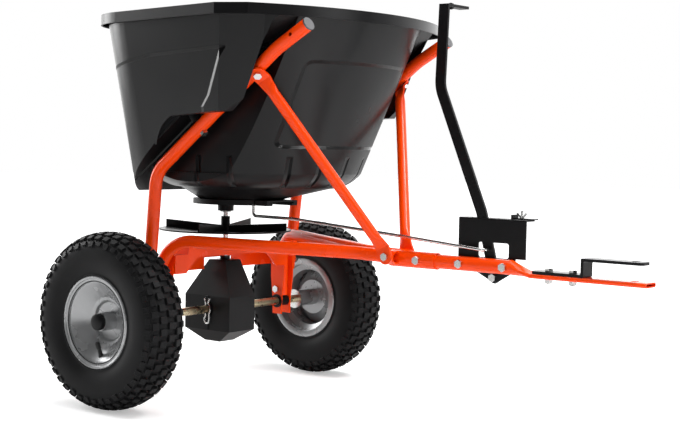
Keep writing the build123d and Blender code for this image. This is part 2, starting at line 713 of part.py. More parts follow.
def axle_bush(side):
    """Flanged bush in the two hanger plates; the axle turns in it."""
    half = TUBE_OD / 2 + PLATE_T
    bore = AXLE_D / 2 + RUNNING_FIT
    y_in = side * (LEG_Y - half)
    y_out = side * (LEG_Y + half)
    tip = y_in - side * BUSH_FLANGE_T
    low = BUSH_OD / 2
    return wheel_profile([(tip, bore), (tip, BUSH_FLANGE_OD / 2), (y_in, BUSH_FLANGE_OD / 2), (y_in, low),
                          (y_out, low), (y_out, bore)])


def cross_member():
    """Formed channel across the frame that carries the gearbox neck."""
    half_y = LEG_Y - TUBE_OD / 2 - PLATE_T
    x = MEMBER_HALF_X
    t = PLATE_T
    side_points = [(-half_y, MEMBER_BOTTOM_Z), (-half_y, MEMBER_LOW_TOP_Z), (-MEMBER_STEP_Y, MEMBER_LOW_TOP_Z),
                   (-MEMBER_STEP_Y + 6, MEMBER_TOP_Z), (MEMBER_STEP_Y - 6, MEMBER_TOP_Z),
                   (MEMBER_STEP_Y, MEMBER_LOW_TOP_Z), (half_y, MEMBER_LOW_TOP_Z), (half_y, MEMBER_BOTTOM_Z)]
    def slice_at(x0, x1, points):
        face = make_face(Polyline(*[(x0, y, z) for y, z in points], close=True))
        return extrude(face, x1 - x0, dir=(1, 0, 0))
    block = slice_at(-x, x, side_points)
    low = MEMBER_BOTTOM_Z - t
    hollow = slice_at(-x + t, x - t, [(y, z - t) for y, z in side_points[1:-1]] + [(half_y, low), (-half_y, low)])
    body = block - hollow
    notch = [(-MEMBER_NOTCH_FOOT_Y, MEMBER_BOTTOM_Z - 1), (-MEMBER_NOTCH_TOP_Y, MEMBER_NOTCH_Z),
             (MEMBER_NOTCH_TOP_Y, MEMBER_NOTCH_Z), (MEMBER_NOTCH_FOOT_Y, MEMBER_BOTTOM_Z - 1)]
    body -= slice_at(x - t - 1, x + 1, notch)
    room = CASE_NECK - 4
    case_room = [(-room, low), (-room, CASE_TOP_Z + 4), (room, CASE_TOP_Z + 4), (room, low)]
    body -= slice_at(-x - 1, -x + t + 1, case_room)
    for end in (-1, 1):
        y0, y1 = sorted((end * half_y, end * (half_y - t)))
        body += slab((-x, x), (y0, y1), (MEMBER_BOTTOM_Z, MEMBER_LOW_TOP_Z))
    bush = SHAFT_BEARING_OD + 2 * RUNNING_FIT
    body -= rod((0, 0, MEMBER_TOP_Z - 20), (0, 0, MEMBER_TOP_Z + 20), bush)
    for end in (-1, 1):
        body = drill(body, hanger_bolt_places(end)[1:])
        body -= bent_tube(frame_path(end), [LEG_BEND_R, NOSE_BEND_R], TUBE_OD + 2 * SEAT_GAP, TUBE_OD / 2)
    return body


def shaft_bearing():
    """Nylon bearing that steadies the shaft in the cross member."""
    bore = SHAFT_D / 2 + RUNNING_FIT
    top = MEMBER_TOP_Z
    flange = SHAFT_BEARING_OD / 2 + 5
    points = [(bore, top - 12), (SHAFT_BEARING_OD / 2, top - 12), (SHAFT_BEARING_OD / 2, top), (flange, top),
              (flange, top + 2.5), (bore, top + 2.5)]
    return revolve(make_face(Polyline(*[(r, 0, z) for r, z in points], close=True)), Axis.Z)


def support_tube(side):
    """Bent tube that carries the hopper, from the hanger up to the rim."""
    pts = [support_point(p, side) for p in (SUPPORT_FOOT, SUPPORT_KNEE, SUPPORT_SHOULDER, SUPPORT_END)]
    tube = bent_tube([tuple(p) for p in pts], [SUPPORT_KNEE_R, SUPPORT_SHOULDER_R], TUBE_OD, TUBE_WALL)
    tube = drill(tube, hanger_bolt_places(side)[1:] + [hopper_bolt_place(side), brace_bolt_place(side)])
    end = support_point(SUPPORT_END, side)
    down = (support_point(SUPPORT_SHOULDER, side) - end).normalized()
    hole = end + down * SUPPORT_HOLE_BACK
    return tube - rod(hole, hole + Vector(0, side * TUBE_OD, 0), SUPPORT_HOLE_D)


def support_normal(side):
    """Unit vector square to the sloping run of a support tube, up and back."""
    run = support_direction(side)
    return Vector(-run.Z, 0, run.X).normalized()


def support_at(x, side):
    """The axis point of a support tube's sloping run at a given x."""
    knee = support_point(SUPPORT_KNEE, side)
    run = support_direction(side)
    return knee + run * ((x - knee.X) / run.X)


def hopper_bolt_place(side):
    """Seat, direction and grip of the bolt up through a support tube into the hopper."""
    up = support_normal(side)
    seat = support_at(PAD_X[0], side) - up * (TUBE_OD / 2)
    return tuple(seat), tuple(up), TUBE_OD + CHANNEL_GAP + HOPPER_WALL


def brace_foot(side):
    """Bolt point, outward normal and up-going direction of a brace's lower flat end."""
    y = FRAME_NOSE_Y + TUBE_OD / 2 + SEAT_GAP + BRACE_FLAT_T / 2
    point = Vector(BRACE_FOOT[0], side * y, BRACE_FOOT[1])
    return point, Vector(0, side, 0)


def brace_head(side):
    """Bolt point and outward normal of a brace's upper flat end on the support tube."""
    run = support_direction(side)
    down = -support_normal(side)
    across = Vector(0, side, 0)
    turn = radians(BRACE_HEAD_TURN)
    normal = (down * cos(turn) + across * sin(turn)).normalized()
    normal = (normal - run * normal.dot(run)).normalized()
    point = support_at(BRACE_HEAD_X, side) + normal * (TUBE_OD / 2 + SEAT_GAP + BRACE_FLAT_T / 2)
    return point, normal


def brace_bolt_place(side):
    """Seat, direction and grip of the bolt through a brace's upper end and the tube."""
    point, normal = brace_head(side)
    seat = point + normal * (BRACE_FLAT_T / 2)
    return tuple(seat), tuple(-normal), BRACE_FLAT_T + SEAT_GAP + TUBE_OD


def brace(side):
    """Round brace with both ends pressed flat and bent to meet the tubes."""
    low, low_normal = brace_foot(side)
    high, high_normal = brace_head(side)
    ends = []
    for start, normal, other in ((low, low_normal, high), (high, high_normal, low)):
        along = (other - start).normalized()
        inward = (along - normal * along.dot(normal)).normalized()
        neck = start + inward * BRACE_TAB
        ends.append((start, normal, inward, neck))
    run = (ends[1][3] - ends[0][3]).normalized()
    round_ends = [ends[0][3] + run * BRACE_NECK, ends[1][3] - run * BRACE_NECK]
    body = rod(round_ends[0], round_ends[1], BRACE_OD)
    bore = rod(round_ends[0], round_ends[1], BRACE_OD - 2 * BRACE_WALL)
    for (start, normal, inward, neck), stop in zip(ends, round_ends):
        flat = Plane(start, x_dir=inward, z_dir=normal)
        outline = Pos(BRACE_TAB / 2, 0) * Rectangle(BRACE_TAB, BRACE_FLAT_W) + Circle(BRACE_FLAT_W / 2)
        body += extrude(flat.offset(-BRACE_FLAT_T / 2) * outline, BRACE_FLAT_T)
        oval = Plane(neck, x_dir=normal, z_dir=inward) * Rectangle(BRACE_FLAT_T, BRACE_FLAT_W)
        away = (stop - neck).normalized()
        full = Plane(stop, x_dir=normal - away * normal.dot(away), z_dir=away) * Circle(BRACE_OD / 2)
        body += loft([oval, full])
    body -= bore
    return drill(body, [frame_bolt_places()[0], brace_bolt_place(side)])


# Hitch


def hitch_tube():
    """Round tube whose front is pressed into a flat strap with a hollow end."""
    def part(inset):
        """The tube's outer or inner form."""
        start = HITCH_TUBE_REAR_X - inset
        end = STRAP_END_X + inset
        round_face = Plane((start, 0, HITCH_Z), z_dir=(1, 0, 0)) * Circle(HITCH_OD / 2 - inset)
        swell = Plane((HITCH_TUBE_FRONT_X, 0, HITCH_Z), x_dir=(0, 1, 0), z_dir=(1, 0, 0))
        flat = Plane((STRAP_START_X, 0, STRAP_Z), x_dir=(0, 1, 0), z_dir=(1, 0, 0))
        oval = SlotOverall(STRAP_W - 2 * inset, STRAP_T - 2 * inset)
        tube = extrude(round_face, HITCH_TUBE_FRONT_X - start)
        neck = loft([swell * Circle(HITCH_OD / 2 - inset), flat * oval])
        return tube + neck + extrude(flat * oval, end - STRAP_START_X)
    body = part(0.0) - part(HITCH_WALL)
    body = drill(body, frame_bolt_places()[1:] + hitch_bolt_places())
    return body - rod((PIN_X, 0, STRAP_Z - STRAP_T), (PIN_X, 0, STRAP_Z + STRAP_T), PIN_BORE_D)


def hitch_bolt_places():
    """Seat, direction and grip of the bolts that clamp the hitch plate to the strap."""
    top = STRAP_Z + STRAP_T / 2 + HITCH_PLATE_T
    return [((x, 0, top), (0, 0, -1), STRAP_T + HITCH_PLATE_T) for x in HITCH_BOLT_X]


def hitch_plate():
    """Stepped plate that makes the clevis over the strap's front end."""
    low = STRAP_Z + STRAP_T / 2
    t = HITCH_PLATE_T
    points = [(HITCH_PLATE_REAR_X, low), (HITCH_RISER_X + t, low), (HITCH_RISER_X + t, HITCH_GAP_TOP_Z),
              (HITCH_PLATE_END_X, HITCH_GAP_TOP_Z), (HITCH_PLATE_END_X, HITCH_GAP_TOP_Z + t),
              (HITCH_RISER_X, HITCH_GAP_TOP_Z + t), (HITCH_RISER_X, low + t), (HITCH_PLATE_REAR_X, low + t)]
    half = HITCH_PLATE_W / 2
    plate = upright(points, -half, half)
    corners = plate.edges().filter_by(Axis.Z).group_by(Axis.X)
    plate = fillet(corners[-1] + corners[0], 8.0)
    bends = plate.edges().filter_by(Axis.Y).filter_by(lambda e: HITCH_RISER_X - 1 < e.center().X < HITCH_RISER_X + t + 1)
    plate = fillet(bends, 2.0)
    plate -= rod((PIN_X, 0, HITCH_GAP_TOP_Z - 1), (PIN_X, 0, HITCH_GAP_TOP_Z + t + 1), PIN_BORE_D)
    return drill(plate, hitch_bolt_places())


# Lever, control rod and bracket


def control_bracket():
    """Folded plate on the hitch tube that guides the lever."""
    y0, y1 = BRACKET_Y, BRACKET_Y + BRACKET_T
    x0, x1 = BRACKET_X
    tab = LEVER_PIVOT[1]
    points = [(x0, HITCH_Z + 2), (x0, BRACKET_TOP_Z), (x1, BRACKET_TOP_Z), (x1, BRACKET_NECK[1]),
              BRACKET_NECK, (BRACKET_NECK[0], HITCH_Z - 6),
              (BRACKET_TAB[2], HITCH_Z - HITCH_OD / 2), (BRACKET_TAB[1], tab - 10),
              (BRACKET_TAB[0], HITCH_Z - HITCH_OD / 2)]
    plate = upright(points, y0, y1)
    flange = slab((x0, x1), (y0, BRACKET_FLANGE_Y), (BRACKET_TOP_Z - BRACKET_T, BRACKET_TOP_Z))
    window = upright([(WINDOW_X[0], WINDOW_Z[0]), (WINDOW_X[0], WINDOW_Z[1]), (WINDOW_X[1], WINDOW_Z[1]),
                      (WINDOW_X[1], WINDOW_Z[0])], y0 - 1, y1 + 1)
    window = fillet(window.edges().filter_by(Axis.Y), 4.0)
    slot_y = (LEVER_Y - SLOT_PLAY, LEVER_Y + LEVER_T + SLOT_PLAY)
    slot = slab(LEVER_SLOT, slot_y, (BRACKET_TOP_Z - BRACKET_T - 1, BRACKET_TOP_Z + 1))
    body = plate + flange - window - slot
    body = fillet(body.edges().filter_by(Axis.X).group_by(Axis.Z)[-1].sort_by(Axis.Y)[0:1], BRACKET_T * 0.8)
    bolt_z = (BRACKET_TOP_Z - BRACKET_T - 1, BRACKET_TOP_Z + 1)
    for x in (STOP_SCREW_X, STOP_SCREW_X + STOP_TRAVEL):
        body -= rod((x, STOP_SCREW_Y, bolt_z[0]), (x, STOP_SCREW_Y, bolt_z[1]), STOP_SCREW_D + 2 * HOLE_PLAY)
    body -= slab((STOP_SCREW_X, STOP_SCREW_X + STOP_TRAVEL),
                 (STOP_SCREW_Y - STOP_SCREW_D / 2 - HOLE_PLAY, STOP_SCREW_Y + STOP_SCREW_D / 2 + HOLE_PLAY), bolt_z)
    body = drill(body, frame_bolt_places()[2:])
    return drill(body, [lever_bolt_place()])


def lever_bolt_place():
    """Seat, direction and grip of the lever's pivot bolt."""
    grip = BRACKET_T + SEAT_GAP + LEVER_T + SEAT_GAP
    return (LEVER_PIVOT[0], BRACKET_Y, LEVER_PIVOT[1]), (0, 1, 0), grip


def lever():
    """Flat lever: near upright foot, leaning middle, upright top and bent-over handle."""
    y = LEVER_Y + LEVER_T / 2
    pts = [(x, y, z) for x, z in (LEVER_PIVOT, LEVER_BEND, LEVER_KNEE, LEVER_TOP)]
    path = FilletPolyline(*pts, radius=LEVER_KNEE_R)
    start = Plane(path @ 0, x_dir=(0, 1, 0), z_dir=path % 0)
    bar = sweep(start * Rectangle(LEVER_T, LEVER_W), path=path)
    foot = rod((LEVER_PIVOT[0], LEVER_Y, LEVER_PIVOT[1]), (LEVER_PIVOT[0], LEVER_Y + LEVER_T, LEVER_PIVOT[1]), LEVER_W)
    top = LEVER_TOP[1]
    half = LEVER_W / 2
    handle = slab((LEVER_TOP[0] - half, LEVER_TOP[0] + half), (LEVER_Y, LEVER_Y + GRIP_REACH),
                  (top - 1, top - 1 + LEVER_T))
    eye_at = Vector(LEVER_TOP[0], LEVER_Y + EYE_Y, top + LEVER_T / 2 - 1)
    eye = rod(eye_at - Vector(0, 2, 0), eye_at + Vector(0, 2, 0), EYE_OD)
    hole = rod(eye_at - Vector(0, 3, 0), eye_at + Vector(0, 3, 0), EYE_ID)
    body = bar + foot + handle + eye - hole
    body -= rod((LEVER_PIVOT[0], LEVER_Y - 1, LEVER_PIVOT[1]), (LEVER_PIVOT[0], LEVER_Y + LEVER_T + 1, LEVER_PIVOT[1]),
                BOLT_D + 2 * RUNNING_FIT)
    return body - rod((ROD_HOLE[0], LEVER_Y - 1, ROD_HOLE[1]), (ROD_HOLE[0], LEVER_Y + LEVER_T + 1, ROD_HOLE[1]),
                      ROD_D + 2 * RUNNING_FIT)


def control_rod():
    """Round rod from the lever back to the gate, hooked at both ends."""
    front_y = LEVER_Y + LEVER_T + 4.0
    pts = [(GATE_PIN_X, 0, GATE_Z + GATE_T + 1.0), (GATE_PIN_X, 0, ROD_REAR_Z), (ROD_BEND[0][0], 0, ROD_BEND[0][1]),
           (ROD_BEND[1][0], 0, ROD_BEND[1][1]), (ROD_HOLE[0], 0, ROD_HOLE[1]), (ROD_HOLE[0], front_y, ROD_HOLE[1])]
    path = FilletPolyline(*pts, radius=7.0)
    return sweep(Plane(path @ 0, z_dir=path % 0) * Circle(ROD_D / 2), path=path)


def stop_slider():
    """Sliding stop on the bracket's flange, with a lip that the lever meets."""
    z = BRACKET_TOP_Z
    foot = slab(STOP_X, STOP_Y, (z, z + STOP_T))
    lip = slab((STOP_X[0], STOP_X[0] + STOP_T), (LEVER_Y, STOP_Y[1]), (z, z + STOP_LIP))
    body = foot + lip
    return body - rod((STOP_SCREW_X, STOP_SCREW_Y, z - 1), (STOP_SCREW_X, STOP_SCREW_Y, z + STOP_T + 1),
                      STOP_SCREW_D + 2 * HOLE_PLAY)


def stop_screw():
    """Screw whose head hangs under the flange and clamps the stop."""
    under = BRACKET_TOP_Z - BRACKET_T
    head = rod((STOP_SCREW_X, STOP_SCREW_Y, under - 3), (STOP_SCREW_X, STOP_SCREW_Y, under), STOP_SCREW_D * 1.8)
    return head + rod((STOP_SCREW_X, STOP_SCREW_Y, under), (STOP_SCREW_X, STOP_SCREW_Y, BRACKET_TOP_Z + 15),
                      STOP_SCREW_D)


def wing_nut():
    """Wing nut that locks the stop by hand."""
    seat = BRACKET_TOP_Z + STOP_T
    body = rod((STOP_SCREW_X, STOP_SCREW_Y, seat), (STOP_SCREW_X, STOP_SCREW_Y, seat + 5), STOP_SCREW_D * 1.7)
    for end in (-1, 1):
        wing = [(STOP_SCREW_X + end * 3.5, seat + 1), (STOP_SCREW_X + end * 11, seat + 8),
                (STOP_SCREW_X + end * 8, seat + 10), (STOP_SCREW_X + end * 3.5, seat + 5)]
        body += upright(wing, STOP_SCREW_Y - 1.2, STOP_SCREW_Y + 1.2)
    return body - rod((STOP_SCREW_X, STOP_SCREW_Y, seat - 1), (STOP_SCREW_X, STOP_SCREW_Y, seat + 8),
                      STOP_SCREW_D + 2 * NUT_PLAY)


# Gate under the hopper


def gate_deck():
    """Round deck under the hopper with the gate's guides, the outlet and the shaft boss."""
    top = FUNNEL_Z
    bottom = top - DECK_T
    x = DECK_X
    disc = rod((x, 0, bottom), (x, 0, top), 2 * DECK_R)
    hollow = rod((x, 0, bottom - 1), (x, 0, top - DECK_WALL), 2 * (DECK_R - DECK_WALL))
    body = disc - hollow
    nose_x = (x + DECK_R - 8, DECK_NOSE_X)
    half = GATE_HALF_Y + GATE_CLEAR
    body += slab(nose_x, (-half - RAIL_W, half + RAIL_W), (bottom, top))
    guide_x = (GATE_REAR_X - 12, DECK_NOSE_X)
    for end in (-1, 1):
        y0, y1 = sorted((end * half, end * (half + RAIL_W - 4)))
        body += slab(guide_x, (y0, y1), (bottom, top - DECK_WALL))
        y0, y1 = sorted((end * (half - 6), end * half))
        body += slab(guide_x, (y0, y1), (bottom, GATE_Z - GATE_CLEAR))
    channel = slab((DECK_X + 20, DECK_NOSE_X + 1), (-half, half), (GATE_Z - GATE_CLEAR, top - DECK_WALL))
    body -= channel
    body -= slab((DECK_X + 20, DECK_NOSE_X + 1), (-half + 6, half - 6), (bottom - 1, top - DECK_WALL))
    body += rod((0, 0, SHAFT_BUSH_BOTTOM), (0, 0, top), SHAFT_BUSH_OD)
    body -= slab(PORT_X, (-PORT_HALF_Y, PORT_HALF_Y), (bottom - 1, top + 1))
    slack = GATE_PIN_PLAY + ROD_D / 2 + 1
    body -= slab((GATE_PIN_X - slack - GATE_BACK, GATE_PIN_X + slack + GATE_OPEN), (-slack, slack),
                 (top - DECK_WALL - 1, top + 1))
    return body - rod((0, 0, SHAFT_BUSH_BOTTOM - 1), (0, 0, top + 1), SHAFT_SLEEVE_OD + 2 * RUNNING_FIT)


def shaft_sleeve():
    """Flanged sleeve in the deck's boss; the shaft turns in it."""
    bore = SHAFT_D / 2 + RUNNING_FIT
    sleeve = SHAFT_SLEEVE_OD / 2
    low = SHAFT_BUSH_BOTTOM
    top = FUNNEL_Z + HOPPER_WALL
    points = [(bore, low - 2), (sleeve + 3, low - 2), (sleeve + 3, low), (sleeve, low), (sleeve, top), (bore, top)]
    return revolve(make_face(Polyline(*[(r, 0, z) for r, z in points], close=True)), Axis.Z)


def gate_slide():
    """Flat gate that closes the outlet; the rod pulls it forward to open."""
    plate = slab((GATE_REAR_X, GATE_FRONT_X), (-GATE_HALF_Y, GATE_HALF_Y), (GATE_Z, GATE_Z + GATE_T))
    plate = fillet(plate.edges().filter_by(Axis.Z), 3.0)
    return plate - rod((GATE_PIN_X, 0, GATE_Z - 1), (GATE_PIN_X, 0, GATE_Z + GATE_T + 1), ROD_D + 2 * GATE_PIN_PLAY)


def support_direction(side):
    """Unit vector up the long sloping run of a support tube."""
    return (support_point(SUPPORT_SHOULDER, side) - support_point(SUPPORT_KNEE, side)).normalized()


def tube_cap(side):
    """Grey plastic plug in the open top end of a support tube."""
    end = support_point(SUPPORT_END, side)
    along = (end - support_point(SUPPORT_SHOULDER, side)).normalized()
    face = Plane(end, z_dir=along)
    disc = extrude(face * Circle(TUBE_OD / 2), CAP_T)
    plug = extrude(face * Circle(TUBE_OD / 2 - TUBE_WALL - RUNNING_FIT), -CAP_PLUG)
    return disc + plug


# Hopper


def hopper_plan(z, size, inset):
    """Outline of the tub at one height: rear wall, tapered sides, cut corners and a bowed front."""
    crease_x, crease_y = size["crease"]
    pillar_x, pillar_y = size["pillar"]
    points = [(size["rear"] + inset, inset - size["side"]), (crease_x - inset * CREASE_PULL, inset - crease_y),
              (pillar_x - inset, inset * PILLAR_PULL - pillar_y)]
    left = [(x, -y) for x, y in reversed(points)]
    edges = [Polyline(*points), ThreePointArc(points[-1], (size["front"] - inset, 0), left[0]), Polyline(*left),
             Line(left[-1], points[0])]
    face = make_face(edges)
    corners = face.vertices().sort_by(Axis.X)[:2]
    return Pos(0, 0, z) * fillet(corners, size["corner"] - inset)


def tub(inset):
    """The hopper's outer envelope between its rim and its foot."""
    low = hopper_plan(TUB_FOOT_Z, TUB_FOOT, inset)
    high = hopper_plan(TUB_HEAD_Z, TUB_HEAD, inset)
    return loft([low, high], ruled=True)


def cone_radius(z):
    """Radius of the hopper's round front wall at height z."""
    return CONE_FOOT_R + CONE_SLOPE * (z - CONE_FOOT_Z)


def core(inset):
    """The round middle of the hopper: cone, bowl and funnel."""
    top = TUB_HEAD_Z
    crease_r, crease_z = BOWL_CREASE
    waist_r, waist_z = BOWL_WAIST
    lift = inset * WALL_LIFT
    foot = (CONE_FOOT_R - inset, 0, CONE_FOOT_Z + lift * 0.4)
    crease = (crease_r, 0, crease_z + lift)
    wall = Polyline((0, 0, top), (cone_radius(top) - inset, 0, top), foot)
    turn = ThreePointArc(foot, (waist_r - inset, 0, waist_z + lift * 0.5), crease)
    close = Polyline(crease, (0, 0, crease[2]), (0, 0, top))
    bowl = Pos(CONE_X, 0, 0) * revolve(make_face([wall, turn, close]), Axis.Z)
    mouth = Pos(CONE_X, 0, crease[2]) * Circle(crease_r - inset)
    throat = Pos(FUNNEL_X, 0, FUNNEL_Z + inset) * Circle(FUNNEL_R - inset)
    half = CORE_HALF_Y - inset
    low_half = half + BOWL_SWELL
    reach = (-RIM_FRONT_X, RIM_FRONT_X + SPARE)
    strip = slab(reach, (-half, half), (CONE_FOOT_Z, top))
    low = slab(reach, (-low_half, low_half), (FUNNEL_Z, CONE_FOOT_Z))
    return bowl & strip, (bowl & low) + loft([throat, mouth], ruled=True)


def channel_line(offset):
    """Two (x, z) points of the channel floor, that far above the support tube's axis."""
    knee, shoulder = SUPPORT_KNEE, SUPPORT_SHOULDER
    dx, dz = shoulder[0] - knee[0], shoulder[1] - knee[1]
    length = hypot(dx, dz)
    nx, nz = -dz / length, dx / length
    def at(share):
        return (knee[0] + dx * share + nx * offset, knee[1] + dz * share + nz * offset)
    return at(-0.9), at(1.25)


def channel_roof(inset):
    """The part of the hopper above the two support tubes."""
    low, high = channel_line(CHANNEL_GAP + TUBE_OD / 2 + inset)
    rear = low[0] - SPARE
    ceiling = high[1] + SPARE
    half = WING_INNER_Y + inset
    return upright([low, high, (high[0], ceiling), (rear, ceiling), (rear, low[1])], -half, half)


def wings(inset):
    """The two side bulges, with the arch over the support tube and the drop at the rear."""
    def at(x, z):
        return (x - inset, 0, z + inset)
    rear = -RIM_FRONT_X
    head = TUB_HEAD_Z + SPARE
    leg = Polyline((rear, 0, head), (rear, 0, WING_FOOT_Z + inset), at(*ARCH[0]))
    arch = ThreePointArc(at(*ARCH[0]), at(*ARCH[1]), at(*ARCH[2]))
    (start_x, start_z), (corner_x, corner_z), (front_x, front_z) = LEDGE
    ledge = Polyline(at(*ARCH[2]), (start_x - inset * 0.5, 0, start_z + inset),
                     (corner_x - inset, 0, corner_z + inset * 0.3), (front_x - inset, 0, front_z),
                     (front_x + SPARE, 0, head), (rear, 0, head))
    face = make_face([leg, arch, ledge])
    inner, outer = WING_INNER_Y + inset, RIM_CORNER[1] + SPARE
    solid = extrude(face, outer - inner, dir=(0, 1, 0))
    return Pos(0, inner, 0) * solid + Pos(0, -outer, 0) * solid


def hopper_form(inset):
    """The hopper as one closed form, drawn smaller by the inset on every wall."""
    upper, lower = core(inset)
    bulk = tub(inset) & (upper + channel_roof(inset) + wings(inset))
    return bulk + lower


def rim_plan(grow):
    """Outline of the rim: tapered sides, cut front corners and bowed front."""
    g = grow
    points = [(RIM_REAR[0] - g, -RIM_REAR[1] - g * 0.9), (RIM_CORNER[0] + g * 0.2, -RIM_CORNER[1] - g),
              (RIM_PILLAR[0] + g * 0.7, -RIM_PILLAR[1] - g * 0.7)]
    left = [(x, -y) for x, y in reversed(points)]
    edges = [Polyline(*points), ThreePointArc(points[-1], (RIM_FRONT_X + g, 0), left[0]), Polyline(*left),
             Line(left[-1], points[0])]
    face = make_face(edges)
    corners = face.vertices().sort_by(Axis.X)[:2]
    return fillet(corners, RIM_CORNER_R + g)


def hopper():
    """Moulded hopper: rim, wings, channels for the tubes, round bowl and outlet."""
    outer = hopper_form(0.0)
    inner = hopper_form(HOPPER_WALL)
    wide = RIM_FRONT_X + SPARE
    band = RIM_TOP_Z - RIM_BAND
    trim = slab((-wide, wide), (-wide, wide), (FUNNEL_Z - SPARE, RIM_TOP_Z - RIM_LIP))
    collar = extrude(Pos(0, 0, band) * rim_plan(0.0), RIM_BAND)
    under = extrude(Pos(0, 0, band - 1) * rim_plan(-RIM_LIP), RIM_BAND - RIM_LIP + 1)
    shell = (outer & trim) + (collar - under)
    for side in SIDES.values():
        for x in PAD_X:
            shell += support_pad(x, side)
    shell -= inner
    shell -= slab(PORT_X, (-PORT_HALF_Y, PORT_HALF_Y), (FUNNEL_Z - 5, FUNNEL_Z + 20))
    shell -= rod((0, 0, FUNNEL_Z - 20), (0, 0, FUNNEL_Z + 20), SHAFT_SLEEVE_OD + 2 * RUNNING_FIT)
    return drill(shell, [hopper_bolt_place(-1), hopper_bolt_place(1)])


def support_pad(x, side):
    """Moulded boss that stands on a support tube and reaches up to the channel's floor."""
    up = support_normal(side)
    on_axis = support_at(x, side)
    return rod(on_axis + up * (TUBE_OD / 2 + SEAT_GAP), on_axis + up * (TUBE_OD / 2 + CHANNEL_GAP + 1), PAD_OD)


def write(name, shape):
    """Write one node's STEP file."""
    export_step(shape, os.path.join("parts", name + ".step"))


def fasteners(places, diameter=BOLT_D):
    """The bolts and nuts of a list of places, as two lists of solids."""
    bolts, nuts = [], []
    for seat, along, grip in places:
        more_bolts, more_nuts = bolt_and_nut(seat, along, grip, diameter)
        bolts += more_bolts
        nuts += more_nuts
    return bolts, nuts


def case_screws():
    """The four screws of the gearbox case, headed at the rear."""
    screws = []
    for y, z in case_screw_places():
        length = CASE_HALF_X + CASE_SCREW_END - NUT_H * CASE_SCREW_D / BOLT_D - 3.0
        screws.append(bolt((-CASE_HALF_X, y, z), (1, 0, 0), length, CASE_SCREW_D))
    return screws


def build_all():
    """Every node of the spreader, by name."""
    nodes = {}
    for name, side in SIDES.items():
        y0 = WHEEL_Y_RIGHT if side < 0 else WHEEL_Y_LEFT
        nodes["tyre_" + name] = tyre(y0)
        nodes["rim_" + name] = rim(y0, side)
        nodes["wheel_hub_" + name] = wheel_hub(y0, side)
        nodes["wheel_washer_" + name] = wheel_washer(y0, side)
        nodes["hub_cap_" + name] = hub_cap(y0, side)
        nodes["valve_stem_" + name] = valve_stem(y0, side)
        nodes["frame_tube_" + name] = frame_tube(side)
        nodes["support_tube_" + name] = support_tube(side)
        nodes["tube_cap_" + name] = tube_cap(side)
        nodes["axle_bush_" + name] = axle_bush(side)
        nodes["hanger_outer_" + name] = hanger_plate(side, True)
        nodes["hanger_inner_" + name] = hanger_plate(side, False)
        nodes["brace_" + name] = brace(side)
    nodes["axle"] = axle()
    nodes["drive_pin"] = drive_pin()
    nodes["r_clip"] = r_clip()
    nodes["ring_gear"] = ring_gear()
    nodes["ring_gear_pin"] = ring_gear_pin()
    nodes["pinion_gear"] = pinion()
    nodes["gearbox_front"] = gearbox_half(True)
    nodes["gearbox_rear"] = gearbox_half(False)
    nodes["gearbox_screws"] = Compound(children=case_screws())
    nodes["spinner_shaft"] = shaft()
    nodes["shaft_pins"] = Compound(children=[pinion_pin(), spinner_pin()])
    nodes["spinner_plate"] = spinner()
    nodes["agitator"] = agitator()
    nodes["cross_member"] = cross_member()
    nodes["shaft_bearing"] = shaft_bearing()
    nodes["hopper"] = hopper()
    nodes["gate_deck"] = gate_deck()
    nodes["shaft_sleeve"] = shaft_sleeve()
    nodes["gate_slide"] = gate_slide()
    nodes["control_rod"] = control_rod()
    nodes["hitch_tube"] = hitch_tube()
    nodes["hitch_plate"] = hitch_plate()
    nodes["control_bracket"] = control_bracket()
    nodes["lever"] = lever()
    nodes["stop_slider"] = stop_slider()
    nodes["stop_screw"] = stop_screw()
    nodes["wing_nut"] = wing_nut()
    groups = {
        "frame_bolts": frame_bolt_places(),
        "hanger_bolts": hanger_bolt_places(-1) + hanger_bolt_places(1),
        "brace_bolts": [brace_bolt_place(-1), brace_bolt_place(1)],
        "hopper_bolts": [hopper_bolt_place(-1), hopper_bolt_place(1)],
        "hitch_bolts": hitch_bolt_places(),
        "lever_bolt": [lever_bolt_place()],
    }
    all_nuts = []
    for name, places in groups.items():
        bolts, nuts = fasteners(places)
        nodes[name] = Compound(children=bolts)
        all_nuts += nuts
    nodes["nuts"] = Compound(children=all_nuts)
    return nodes


if __name__ == "__main__":
    os.makedirs("parts", exist_ok=True)
    for node, solid in build_all().items():
        write(node, solid)
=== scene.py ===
"""Dressing of the tow-behind lawn spreader: finishes, tyres, rims, caps, valves, light and camera."""
import json
import math

import bmesh
import bpy
from mathutils import Matrix, Vector


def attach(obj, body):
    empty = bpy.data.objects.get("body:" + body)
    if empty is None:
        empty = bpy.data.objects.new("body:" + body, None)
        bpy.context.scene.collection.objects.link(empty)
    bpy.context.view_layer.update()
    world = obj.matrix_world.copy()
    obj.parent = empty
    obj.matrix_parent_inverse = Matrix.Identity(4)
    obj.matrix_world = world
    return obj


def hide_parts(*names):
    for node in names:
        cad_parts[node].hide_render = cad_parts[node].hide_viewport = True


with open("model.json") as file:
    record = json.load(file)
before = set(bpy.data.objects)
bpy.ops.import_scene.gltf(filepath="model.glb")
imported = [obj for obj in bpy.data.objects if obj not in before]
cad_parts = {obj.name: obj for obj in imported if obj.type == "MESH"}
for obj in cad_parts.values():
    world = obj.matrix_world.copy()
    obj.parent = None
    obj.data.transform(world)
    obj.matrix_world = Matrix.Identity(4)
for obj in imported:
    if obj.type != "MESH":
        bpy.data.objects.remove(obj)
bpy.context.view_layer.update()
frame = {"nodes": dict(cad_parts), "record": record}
NODES = frame["nodes"]


# Camera, at the photograph's viewing angle

